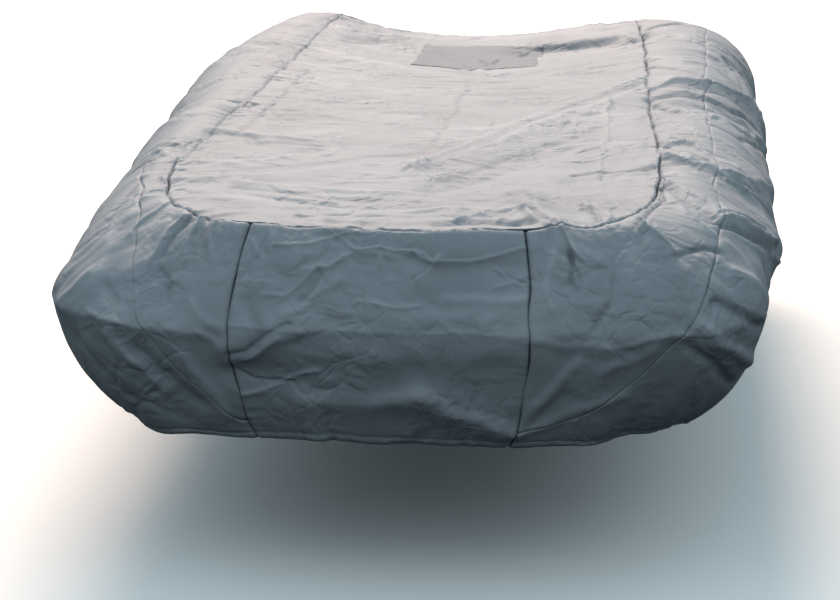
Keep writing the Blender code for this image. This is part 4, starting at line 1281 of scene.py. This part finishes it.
    def beside_edge(self, number: int) -> tuple[Array, Array]:
        """Where the stitching beside an edge lies.

        Args:
            number: the edge, counted as in edges.

        Returns:
            Points on the cloth and outward directions there.
        """
        layers = self._from_edge([self.folded, self.facing], number)
        grid, facing = (layer[:EDGE_ROWS] for layer in layers)
        marks = run_lengths(grid, 0)
        mark = self.edges[number].value.stitch
        after = np.argmax(marks > mark, axis=0)
        column = np.arange(grid.shape[1])
        span = marks[after, column] - marks[after - 1, column]
        part = ((mark - marks[after - 1, column]) / span)[:, None]
        line = grid[after - 1, column] * (1.0 - part) + grid[after, column] * part
        return line, facing[after, column]


@dataclass(frozen=True)
class Spacing:
    """How finely the cloth is divided.

    Attributes:
        front: metres along the boat between corners, near the bow.
        rear: metres along the boat between corners, further back.
        turn_place: distance from the bow at which the one gives way to the other.
        edge: distances from an edge at which the first corners beside it lie.
        ends: cells from an end seam at which the first corners along the boat lie.
        samples: places at which a side is measured.
    """

    front: float = 0.0046
    rear: float = 0.0074
    turn_place: float = 1.0
    edge: tuple[float, ...] = (0.0, 0.0012, 0.003, 0.0055, 0.009, 0.014)
    ends: tuple[float, ...] = (0.0, 0.25, 0.6)
    samples: int = 600

    def across(self, cells: int, breadth: float, both: bool = True) -> Array:
        """Shares 0 to 1 over a panel's breadth, closer beside its edges.

        Args:
            cells: how many cells lie between the closer ones.
            breadth: about how broad the panel is.
            both: whether the far edge has closer ones too.

        Returns:
            The shares.
        """
        ends = np.array(self.edge) / breadth
        last = 1.0 - ends[::-1] if both else np.array([1.0])
        return np.concatenate([ends, np.linspace(ends[-1], last[0], cells + 1)[1:-1], last])

    def along(self, side: Side, share: float) -> Array:
        """Places along a side, evenly spaced on the line at a share of its sections.

        Args:
            side: the side.
            share: share of the way from deck seam to hem at which the spacing is measured.

        Returns:
            Places from the bow's seam to the stern's, closer beside both.
        """
        places = np.linspace(BOW_SEAM_PLACE, STERN_SEAM_PLACE, self.samples)
        line = side.skin(places, np.full((len(places), 1), share))[:, 0]
        steps = np.linalg.norm(np.diff(line, axis=0), axis=1)
        pitch = np.where(line[1:, 1] < self.turn_place, self.front, self.rear)
        count = np.concatenate([[0.0], np.cumsum(steps / pitch)])
        total = count[-1]
        marks = np.linspace(0.0, total, int(total) + 1)[1:-1]
        near = np.array(self.ends)
        return np.interp(np.concatenate([near, marks, total - near[::-1]]), count, places)


class Cover:
    """The whole cover: all its panels."""

    # About how large the panels are, in metres, for the spacing of corners beside their edges.
    DECK_BREADTH = 1.1
    SHOULDER_BREADTH = 0.25
    SKIRT_BREADTH = 0.55
    HALF_END_BREADTH, END_HEIGHT = 0.35, 0.6
    PATCH_BREADTH, PATCH_LENGTH = 0.4, 0.45

    # Share of a side's sections at which its corners are evenly spaced.
    MEASURED_SHARE = 0.35

    def __init__(self, form: Form, relief: Relief, spacing: Spacing) -> None:
        """Keeps what the panels are cut from.

        Args:
            form: the drawn shape.
            relief: what lies on it.
            spacing: how finely it is divided.
        """
        self.form = form
        self.relief = relief
        self.spacing = spacing
        self.panels: list[Panel] = []

    def _add(self, panel: Panel) -> None:
        """Folds a panel and keeps it.

        Args:
            panel: the panel.
        """
        panel.fold(self.relief)
        self.panels.append(panel)
        log.info("%s: %d x %d corners, %.2f m2", panel.name, *panel.points.shape[:2], panel.cut_size()[2])

    def cut_deck(self, cells: int) -> None:
        """Cuts the top panel, with so many cells across.

        Args:
            cells: cells across, between the closer ones beside its edges.
        """
        places = self.spacing.along(PORT, 0.0)
        across = 2.0 * self.spacing.across(cells, self.DECK_BREADTH) - 1.0
        self._add(Panel(
            "top_cloth", "top_panel", "stretched", ("shoulder_port", "shoulder_starboard", "bow_panel"),
            self.form.deck(places, across), self.form.deck_facing(places, across),
            (Edge.BOW_EDGE_UNDER,) + (Edge.DECK_SEAM_UNDER,) * 3,
        ))

    def cut_side(self, side: Side, name: str, shoulder_cells: int, skirt_cells: int) -> None:
        """Cuts the shoulder and the skirt of one side.

        Args:
            side: the side.
            name: the side's name in the names of pieces.
            shoulder_cells: cells down the shoulder.
            skirt_cells: cells down the skirt.
        """
        places = self.spacing.along(side, self.MEASURED_SHARE)
        shoulder_down = self.spacing.across(shoulder_cells, self.SHOULDER_BREADTH)
        skirt_down = self.spacing.across(skirt_cells, self.SKIRT_BREADTH)
        shoulder, skirt = "shoulder_" + name, "skirt_" + name
        shoulder_edges = (Edge.DECK_SEAM, Edge.LONG_SEAM_UNDER)
        skirt_edges = (Edge.LONG_SEAM, Edge.HEM)
        parts = (
            (shoulder, Part.SHOULDER, shoulder_down, shoulder_edges, "stretched", "top_panel"),
            (skirt, Part.SKIRT, skirt_down, skirt_edges, "hung", shoulder),
        )
        for node, part, down, edges, held, carrier in parts:
            shares = side.shares(places, part, down)
            points, facing = side.skin(places, shares), self.form.side_facing(side, places, shares)
            edges = (Edge.UPRIGHT_SEAM, Edge.UPRIGHT_SEAM) + edges
            self._add(Panel(node + "_cloth", node, held, (carrier,), points, facing, edges))

    def cut_end(self, node: str, stern: bool, cells: int, half_columns: int) -> None:
        """Cuts the bow or the stern panel, from its port seam to its starboard seam.

        Args:
            node: the solid's name.
            stern: whether it is the stern panel.
            cells: cells from the deck seam to the hem.
            half_columns: cells from the middle to each seam.
        """
        steps = self.spacing.across(half_columns, self.HALF_END_BREADTH, both=False) * BOW_SEAM_PLACE
        places = STERN_SEAM_PLACE + steps if stern else BOW_SEAM_PLACE - steps
        halves = []
        for side in (PORT, STARBOARD):
            shares = side.shares(places, Part.WHOLE, self.spacing.across(cells, self.END_HEIGHT))
            halves.append((side.skin(places, shares), self.form.side_facing(side, places, shares)))
        points, facing = (np.concatenate([port, starboard[-2::-1]]) for port, starboard in zip(*halves))
        seam, head = Edge.UPRIGHT_SEAM_UNDER, Edge.DECK_SEAM if stern else Edge.BOW_EDGE
        self._add(Panel(
            node + "_cloth", node, "hung", ("top_panel",), points, facing, (seam, seam, head, Edge.HEM)
        ))

    def cut_patch(self, rows: tuple[float, float], half_breadth: float, cells: int) -> None:
        """Cuts the patch that is sewn on the top panel near the stern.

        Args:
            rows: the deck's rows at which it starts and ends.
            half_breadth: how far it reaches to each side, as a share of the deck's half breadth.
            cells: cells each way.
        """
        coarse = self.form.deck_places()
        rank = rows[0] + self.spacing.across(cells, self.PATCH_LENGTH) * (rows[1] - rows[0])
        places = np.interp(rank, np.arange(len(coarse)), coarse)
        across = half_breadth * (2.0 * self.spacing.across(cells, self.PATCH_BREADTH) - 1.0)
        self._add(Panel(
            "patch_cloth", "stern_patch", "laid", ("top_panel",),
            self.form.deck(places, across), self.form.deck_facing(places, across),
            (Edge.PATCH_EDGE,) * 4, PATCH_LIFT,
        ))


@dataclass(frozen=True)
class Stitching:
    """Rows of stitches beside the seams, the hem and the patch's edge.

    Attributes:
        pitch: distance from one stitch to the next.
        length: length of thread that shows.
        radius: the thread's radius.
        proud: how high a stitch's middle stands, in radii.
        sunk: how deep its ends lie, in radii.
        ahead: distance over which its direction is measured.
    """

    pitch: float = 0.0060
    length: float = 0.0044
    radius: float = 0.0005
    proud: float = 1.4
    sunk: float = 0.8
    ahead: float = 0.001

    def mesh(self, panels: Sequence[Panel], name: str) -> bpy.types.Object:
        """Makes all the stitches as one object, each a small grain with four sides.

        Args:
            panels: the panels that they hold.
            name: the object's name.

        Returns:
            The object.
        """
        grains = []
        for panel in panels:
            for number in range(len(panel.edges)):
                line, out = panel.beside_edge(number)
                length = np.linalg.norm(np.diff(line, axis=0), axis=1).sum()
                marks = np.arange(self.pitch, length - self.pitch, self.pitch)
                # The directions go along so short that they add nothing to the line's length.
                both = sampled(np.hstack([line, out * 1e-6]), marks)
                ahead = sampled(line, marks + self.ahead)
                grains.append(self._grains(both[:, :3], unit(ahead - both[:, :3]), unit(both[:, 3:])))
        points = np.concatenate(grains)
        sides = ((0, 2, 3), (0, 3, 4), (0, 4, 5), (0, 5, 2), (1, 3, 2), (1, 4, 3), (1, 5, 4), (1, 2, 5))
        first = np.arange(len(points))[:, None, None] * 6
        log.info("%s: %d stitches", name, len(points))
        return new_mesh(name, points.reshape(-1, 3) - ORIGIN, (first + np.array(sides)).reshape(-1, 3))

    def _grains(self, centre: Array, run: Array, out: Array) -> Array:
        """Six corners for each stitch: its two ends, then four round its middle.

        Args:
            centre: the stitches' middles.
            run: the seam's direction there.
            out: outward directions there.

        Returns:
            Points, shaped (stitches, 6, 3).
        """
        across = unit(np.cross(run, out))
        out = np.cross(across, run)
        ends = [centre + run * self.length / 2 * way - out * self.radius * self.sunk for way in (-1, 1)]
        ring = [centre - across * self.radius, centre + out * self.radius * self.proud]
        ring += [centre + across * self.radius, centre - out * self.radius]
        return np.stack(ends + ring, axis=1)


Operand = Union["Number", float]


@dataclass(frozen=True)
class Number:
    """A number that varies over a surface: a node's output, with arithmetic on it."""

    graph: "Graph"
    socket: bpy.types.NodeSocket

    def math(self, operation: str, *operands: Operand) -> "Number":
        """The result of one Math node."""
        made = self.graph.node("ShaderNodeMath", {"operation": operation}, dict(enumerate(operands)))
        return Number(self.graph, made.outputs[0])

    def __add__(self, other: Operand) -> "Number":
        """This plus other."""
        return self.math("ADD", self, other)

    def __radd__(self, other: Operand) -> "Number":
        """Other plus this."""
        return self.math("ADD", other, self)

    def __sub__(self, other: Operand) -> "Number":
        """This less other."""
        return self.math("SUBTRACT", self, other)

    def __rsub__(self, other: Operand) -> "Number":
        """Other less this."""
        return self.math("SUBTRACT", other, self)

    def __mul__(self, other: Operand) -> "Number":
        """This times other."""
        return self.math("MULTIPLY", self, other)

    def __rmul__(self, other: Operand) -> "Number":
        """Other times this."""
        return self.math("MULTIPLY", other, self)

    def clipped(self, low: float, high: float) -> "Number":
        """This, kept between low and high."""
        return self.math("MINIMUM", self.math("MAXIMUM", self, low), high)

    def step(self, low: float, high: float) -> "Number":
        """A soft step from 0 at low to 1 at high.

        Args:
            low: where it starts.
            high: where it ends.

        Returns:
            The step.
        """
        inputs = {"Value": self, "From Min": low, "From Max": high}
        made = self.graph.node("ShaderNodeMapRange", {"interpolation_type": "SMOOTHSTEP"}, inputs)
        return Number(self.graph, made.outputs[0])


Feed = Union[Number, bpy.types.NodeSocket, float, tuple]
Settings = Optional[dict[str, object]]
Inputs = Optional[dict[object, Feed]]


class Graph:
    """The node tree of a material, or of the light from all round."""

    def __init__(self, owner: Union[bpy.types.Material, bpy.types.World]) -> None:
        """Empties the tree of a new material or world.

        Args:
            owner: the material or world.
        """
        self.owner = owner
        self.owner.use_nodes = True
        self.tree = self.owner.node_tree
        self.tree.nodes.clear()

    def node(self, kind: str, settings: Settings = None, inputs: Inputs = None) -> bpy.types.Node:
        """Adds a node.

        Args:
            kind: the node's type.
            settings: its properties.
            inputs: what feeds its sockets, by name or number.

        Returns:
            The node.
        """
        made = self.tree.nodes.new(kind)
        for key, value in (settings or {}).items():
            setattr(made, key, value)
        for key, value in (inputs or {}).items():
            source = value.socket if isinstance(value, Number) else value
            if isinstance(source, bpy.types.NodeSocket):
                self.tree.links.new(source, made.inputs[key])
            else:
                made.inputs[key].default_value = source
        return made

    def place(self) -> bpy.types.NodeSocket:
        """Where a point lies in the part's own frame."""
        return self.node("ShaderNodeTexCoord").outputs["Object"]

    def stretched(self, vector: Feed, scale: tuple[float, float, float]) -> bpy.types.NodeSocket:
        """A vector multiplied by another."""
        made = self.node("ShaderNodeVectorMath", {"operation": "MULTIPLY"}, {0: vector, 1: scale})
        return made.outputs["Vector"]

    def noise(self, vector: Feed, scale: float, detail: float, distortion: float = 0.0) -> Number:
        """Soft noise from 0 to 1, with so many cells to the metre."""
        inputs = {"Vector": vector, "Scale": scale, "Detail": detail, "Distortion": distortion}
        return Number(self, self.node("ShaderNodeTexNoise", None, inputs).outputs[0])

    def mix(self, share: Feed, first: Feed, second: Feed) -> bpy.types.NodeSocket:
        """A colour between two, at a share from 0 to 1."""
        made = self.node("ShaderNodeMix", {"data_type": "RGBA"}, {0: share, 6: first, 7: second})
        return made.outputs[2]

    def bump(self, height: Number, distance: float, strength: float, normal: Optional[Feed] = None) -> Feed:
        """A normal bent by a height, on top of another normal if one is given.

        Args:
            height: the height, 0 to 1.
            distance: metres that a height of 1 stands for.
            strength: share of the bend that is kept.
            normal: the normal underneath.

        Returns:
            The bent normal.
        """
        inputs: dict[object, Feed] = {"Height": height, "Distance": distance, "Strength": strength}
        if normal is not None:
            inputs["Normal"] = normal
        return self.node("ShaderNodeBump", None, inputs).outputs[0]

    def surface(self, inputs: dict[object, Feed]) -> bpy.types.Material:
        """Ends the material in one shader, with what feeds its sockets.

        Args:
            inputs: what feeds the shader's sockets, by name.

        Returns:
            The material.
        """
        shader = self.node("ShaderNodeBsdfPrincipled", None, inputs)
        self.node("ShaderNodeOutputMaterial", None, {"Surface": shader.outputs[0]})
        return self.owner


@dataclass(frozen=True)
class ClothFinish:
    """Coated woven cloth that has been folded, packed and left in the weather.

    Attributes:
        name: the material's name.
        shade: its colour.
        faded: its colour on the creases' ridges, where they show wear, and where it is sun-bleached.
        deep: its colour in the troughs, as painted shade, and in darker mottles.
        dust_and_shade: its colour in the bottom of the seams, as painted shade with some dust.
        thread: distance between the weave's threads.
        roughness: how dull it is, at its dullest and its glossiest.
        sheen: how much the fibres catch light at a glance.
    """

    name: str = "coated_cloth"
    shade: Colour = (0.232, 0.246, 0.265, 1.0)
    faded: Colour = (0.300, 0.312, 0.330, 1.0)
    deep: Colour = (0.175, 0.188, 0.206, 1.0)
    dust_and_shade: Colour = (0.050, 0.056, 0.064, 1.0)
    thread: float = 0.0011
    roughness: tuple[float, float] = (0.74, 0.58)
    sheen: float = 0.08

    def material(self) -> bpy.types.Material:
        """Makes the material: mottled colour, wear on ridges, painted shade in troughs and seams, small
        wrinkles and the weave.

        Returns:
            The material.
        """
        graph = Graph(bpy.data.materials.new(self.name))
        place = graph.place()
        cut = graph.node("ShaderNodeUVMap", {"uv_map": "cut"}).outputs[0]
        crease_wear_and_shade, groove_shade = (
            Number(graph, graph.node("ShaderNodeAttribute", {"attribute_name": name}).outputs["Fac"])
            for name in ("crease_wear_and_shade", "groove_shade")
        )
        cloudy = graph.noise(place, scale=3.2, detail=4.0, distortion=0.4)
        speckle = graph.noise(place, scale=210.0, detail=2.0)
        longer = graph.stretched(place, (1.0, 1.6, 1.0))
        crushed = graph.noise(longer, scale=34.0, detail=3.0, distortion=1.2)
        fine = graph.noise(place, scale=95.0, detail=3.0, distortion=0.6)
        web = self._web(graph, place)
        # From -1 to 1: painted shade in the troughs, wear on the ridges, then clouds and specks of fading.
        wear_and_shade = (crease_wear_and_shade * 0.55 + (cloudy - 0.5) * 0.9 + (speckle - 0.5) * 0.35).clipped(-1.0, 1.0)
        colour = graph.mix(wear_and_shade.step(0.0, 1.0), self.shade, self.faded)
        # Painted shade darkens the troughs.
        colour = graph.mix((wear_and_shade * -1.0).step(0.0, 1.0), colour, self.deep)
        # Painted shade, with some dust, darkens the seams' grooves almost to black.
        colour = graph.mix(groove_shade.step(0.15, 1.0), colour, self.dust_and_shade)
        dull, glossy = self.roughness
        roughness = (crushed * 0.6 + fine * 0.4) * (glossy - dull) + dull
        normal = graph.bump(web, distance=0.0036, strength=0.8)
        normal = graph.bump(crushed, distance=0.0030, strength=0.35, normal=normal)
        normal = graph.bump(fine, distance=0.0012, strength=0.35, normal=normal)
        normal = graph.bump(self._weave(graph, cut), distance=0.00012, strength=0.5, normal=normal)
        return graph.surface({
            "Base Color": colour, "Roughness": roughness, "Normal": normal,
            "Sheen Weight": self.sheen, "Sheen Roughness": 0.4, "Specular IOR Level": 0.35,
        })

    def _web(self, graph: Graph, place: bpy.types.NodeSocket) -> Number:
        """The height of the fine creases that crushing leaves, in patches.

        Args:
            graph: the material's tree.
            place: where a point lies.

        Returns:
            The height.
        """
        swirls = graph.node("ShaderNodeTexNoise", None, {"Vector": place, "Scale": 7.0, "Detail": 3.0})
        inputs = {0: swirls.outputs["Color"], 1: (0.12,) * 3, 2: place}
        shifted = graph.node("ShaderNodeVectorMath", {"operation": "MULTIPLY_ADD"}, inputs)
        layers = []
        for scale, height in ((8.0, 1.0), (19.0, 0.45)):
            inputs = {"Vector": shifted.outputs[0], "Scale": scale}
            cells = graph.node("ShaderNodeTexVoronoi", {"feature": "DISTANCE_TO_EDGE"}, inputs)
            layers.append(Number(graph, cells.outputs[0]).step(0.0, 0.20) * height)
        patches = graph.noise(place, scale=4.5, detail=2.0).step(0.38, 0.62)
        return (layers[0] + layers[1]) * patches

    def _weave(self, graph: Graph, cut: bpy.types.NodeSocket) -> Number:
        """The height of plain woven threads over the cut cloth.

        Args:
            graph: the material's tree.
            cut: where a point lies on the flat cloth.

        Returns:
            The height.
        """
        parts = graph.node("ShaderNodeSeparateXYZ", None, {0: cut})
        turns = math.pi / self.thread
        across, along = (Number(graph, parts.outputs[axis]) * turns for axis in (0, 1))
        return across.math("SINE", across) * along.math("SINE", along) * 0.5 + 0.5


# The patch is the same cloth painted darker and bluer: painted shade for the trough that it lies in.
SHADED_PATCH_FINISH = ClothFinish(
    name="patch_cloth_finish",
    shade=(0.120, 0.138, 0.160, 1.0),
    faded=(0.185, 0.198, 0.216, 1.0),
    deep=(0.125, 0.136, 0.150, 1.0),
)


@dataclass(frozen=True)
class ThreadFinish:
    """Polyester sewing thread, a little lighter than the cloth.

    Attributes:
        name: the material's name.
        shade: its colour.
        dust_and_shade: its colour where dust lies on it.
    """

    name: str = "sewing_thread"
    shade: Colour = (0.270, 0.282, 0.300, 1.0)
    dust_and_shade: Colour = (0.205, 0.212, 0.222, 1.0)

    def material(self) -> bpy.types.Material:
        """Makes the material: plied thread with dust.

        Returns:
            The material.
        """
        graph = Graph(bpy.data.materials.new(self.name))
        place = graph.place()
        dust = graph.noise(place, scale=18.0, detail=3.0)
        plies = graph.noise(graph.stretched(place, (1.0, 1.0, 2.0)), scale=1400.0, detail=1.0)
        return graph.surface({
            "Base Color": graph.mix(dust, self.shade, self.dust_and_shade), "Roughness": dust * 0.25 + 0.45,
            "Normal": graph.bump(plies, distance=0.0003, strength=0.5), "Sheen Weight": 0.2,
        })


@dataclass(frozen=True)
class FloorFinish:
    """A smooth painted studio floor.

    Attributes:
        name: the material's name.
        shade: its colour.
        scuffed: its colour where the floor is a little scuffed.
    """

    name: str = "studio_floor"
    shade: Colour = (0.90, 0.86, 0.83, 1.0)
    scuffed: Colour = (0.88, 0.84, 0.81, 1.0)

    def material(self) -> bpy.types.Material:
        """Makes the material.

        Returns:
            The material.
        """
        graph = Graph(bpy.data.materials.new(self.name))
        patches = graph.noise(graph.place(), scale=0.7, detail=2.0)
        return graph.surface({
            "Base Color": graph.mix(patches, self.shade, self.scuffed), "Roughness": patches * 0.1 + 0.85,
            "Specular IOR Level": 0.2,
        })


@dataclass(frozen=True)
class SoftBox:
    """A large square lamp.

    Attributes:
        name: the lamp's name.
        place: where it hangs.
        target: what it points at.
        breadth: its side.
        power: its watts.
        tint: its colour.
    """

    name: str
    place: tuple[float, float, float]
    target: tuple[float, float, float]
    breadth: float
    power: float
    tint: tuple[float, float, float]

    def hang(self) -> None:
        """Adds the lamp to the scene."""
        lamp = bpy.data.lights.new(self.name, "AREA")
        lamp.shape, lamp.size, lamp.energy, lamp.color = "SQUARE", self.breadth, self.power, self.tint
        made = bpy.data.objects.new(self.name, lamp)
        made.location = self.place
        way = Vector(self.target) - Vector(self.place)
        made.rotation_euler = way.to_track_quat("-Z", "Y").to_euler()
        bpy.context.scene.collection.objects.link(made)


@dataclass(frozen=True)
class Studio:
    """The floor, the lamps, the light from all round and the camera.

    Attributes:
        floor_height: height of the floor in the part's frame.
        floor_breadth: side of the floor.
        lamps: the lamps.
        above: light that comes from above the horizon.
        below: light that comes from under it.
        horizon: heights of a direction, between which the one gives way to the other.
        turned: the camera's turn about the vertical, in degrees.
        tilted: how far it looks down, in degrees.
        away: its distance from the drawing's origin.
        picture: the picture's width and height in pixels.
        pixels: pixels to one unit of the picture plane at one unit's distance.
        middle: where the drawing's origin lies in the picture, in pixels from its top left.
        sensor: breadth of the camera's sensor in millimetres.
        sight: distance beyond which the camera sees nothing.
    """

    floor_height: float = -0.80
    floor_breadth: float = 60.0
    lamps: tuple[SoftBox, ...] = (
        SoftBox("warm_lamp", (-1.5, 7.0, 6.6), (0.0, 0.2, -0.1), 5.0, 1540.0, (1.0, 0.765, 0.64)),
    )
    above: Colour = (0.72, 0.93, 1.04, 1.0)
    below: Colour = (0.025, 0.034, 0.04, 1.0)
    horizon: tuple[float, float] = (-0.05, 0.55)
    turned: float = 6.0
    tilted: float = 15.0
    away: float = 2700.0 / 455.0
    picture: tuple[int, int] = (840, 600)
    pixels: float = 2700.0
    middle: tuple[float, float] = (378.0, 332.0)
    sensor: float = 36.0
    sight: float = 200.0

    def build(self) -> None:
        """Makes everything round the cover."""
        self._floor()
        for lamp in self.lamps:
            lamp.hang()
        self._fill()
        self._camera()

    def _fill(self) -> None:
        """Lights the scene softly from above and faintly from below."""
        world = bpy.data.worlds.new("studio_fill")
        graph = Graph(world)
        way = graph.node("ShaderNodeTexCoord").outputs["Generated"]
        height = Number(graph, graph.node("ShaderNodeSeparateXYZ", None, {0: way}).outputs[2])
        colour = graph.mix(height.step(*self.horizon), self.below, self.above)
        light = graph.node("ShaderNodeBackground", None, {"Color": colour})
        graph.node("ShaderNodeOutputWorld", None, {"Surface": light.outputs[0]})
        bpy.context.scene.world = world

    def _floor(self) -> None:
        """Lays the floor, which throws no light back up under the cover."""
        half = self.floor_breadth / 2
        corners = np.array([(-half, -half, 0), (half, -half, 0), (half, half, 0), (-half, half, 0)])
        floor = new_mesh("floor", corners + (0.0, 0.0, self.floor_height), np.array([(0, 1, 2, 3)]))
        floor.data.materials.append(FloorFinish().material())
        floor.visible_diffuse = False
        floor.visible_glossy = False

    def _camera(self) -> None:
        """Sets up the camera at the photograph's angle."""
        turn, tilt = math.radians(self.turned), math.radians(self.tilted)
        ahead = Vector((-math.sin(turn) * math.cos(tilt), math.cos(turn) * math.cos(tilt), -math.sin(tilt)))
        right = Vector((math.cos(turn), math.sin(turn), 0.0))
        up = right.cross(ahead)
        width, height = self.picture
        left = (self.middle[0] - width / 2) / self.pixels
        above = (height / 2 - self.middle[1]) / self.pixels
        place = -self.away * (ahead + left * right + above * up) - Vector(ORIGIN)
        lens = bpy.data.cameras.new("camera")
        lens.sensor_width, lens.lens = self.sensor, self.pixels * self.sensor / width
        lens.clip_end = self.sight
        made = bpy.data.objects.new("camera", lens)
        made.matrix_world = Matrix.Translation(place) @ Matrix((right, up, -ahead)).transposed().to_4x4()
        bpy.context.scene.collection.objects.link(made)
        bpy.context.scene.camera = made
        bpy.context.scene.view_settings.view_transform = "Standard"


def dress(cover: Cover) -> None:
    """Makes the panels and their stitching, hides the solids they stand for, and hangs them on the root body.

    Args:
        cover: the cover, with its panels cut.
    """
    cloth, patch = ClothFinish().material(), SHADED_PATCH_FINISH.material()
    for panel in cover.panels:
        piece = panel.mesh()
        # The patch takes the darker copy of the cloth, whose colour is painted shade.
        piece.data.materials.append(patch if panel.node == "stern_patch" else cloth)
        width, length, area = panel.cut_size()
        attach(piece, "root")
        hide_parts(panel.node)
        log.info("%s: %d faces", piece.name, len(piece.data.polygons))
    stitches = Stitching().mesh(cover.panels, "stitching")
    stitches.data.materials.append(ThreadFinish().material())
    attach(stitches, "root")


def main() -> None:
    """Builds the cover and the studio round it."""
    logging.basicConfig(level=logging.INFO, format="%(message)s")
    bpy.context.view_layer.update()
    cover = Cover(Form(), Relief(), Spacing())
    cover.cut_deck(cells=176)
    cover.cut_side(PORT, "port", shoulder_cells=52, skirt_cells=90)
    cover.cut_side(STARBOARD, "starboard", shoulder_cells=52, skirt_cells=90)
    cover.cut_end("bow_panel", stern=False, cells=150, half_columns=92)
    cover.cut_end("stern_panel", stern=True, cells=84, half_columns=72)
    cover.cut_patch(rows=(44.0, 53.0), half_breadth=0.375, cells=76)
    dress(cover)
    Studio().build()
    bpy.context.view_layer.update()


if __name__ == "__main__":
    main()
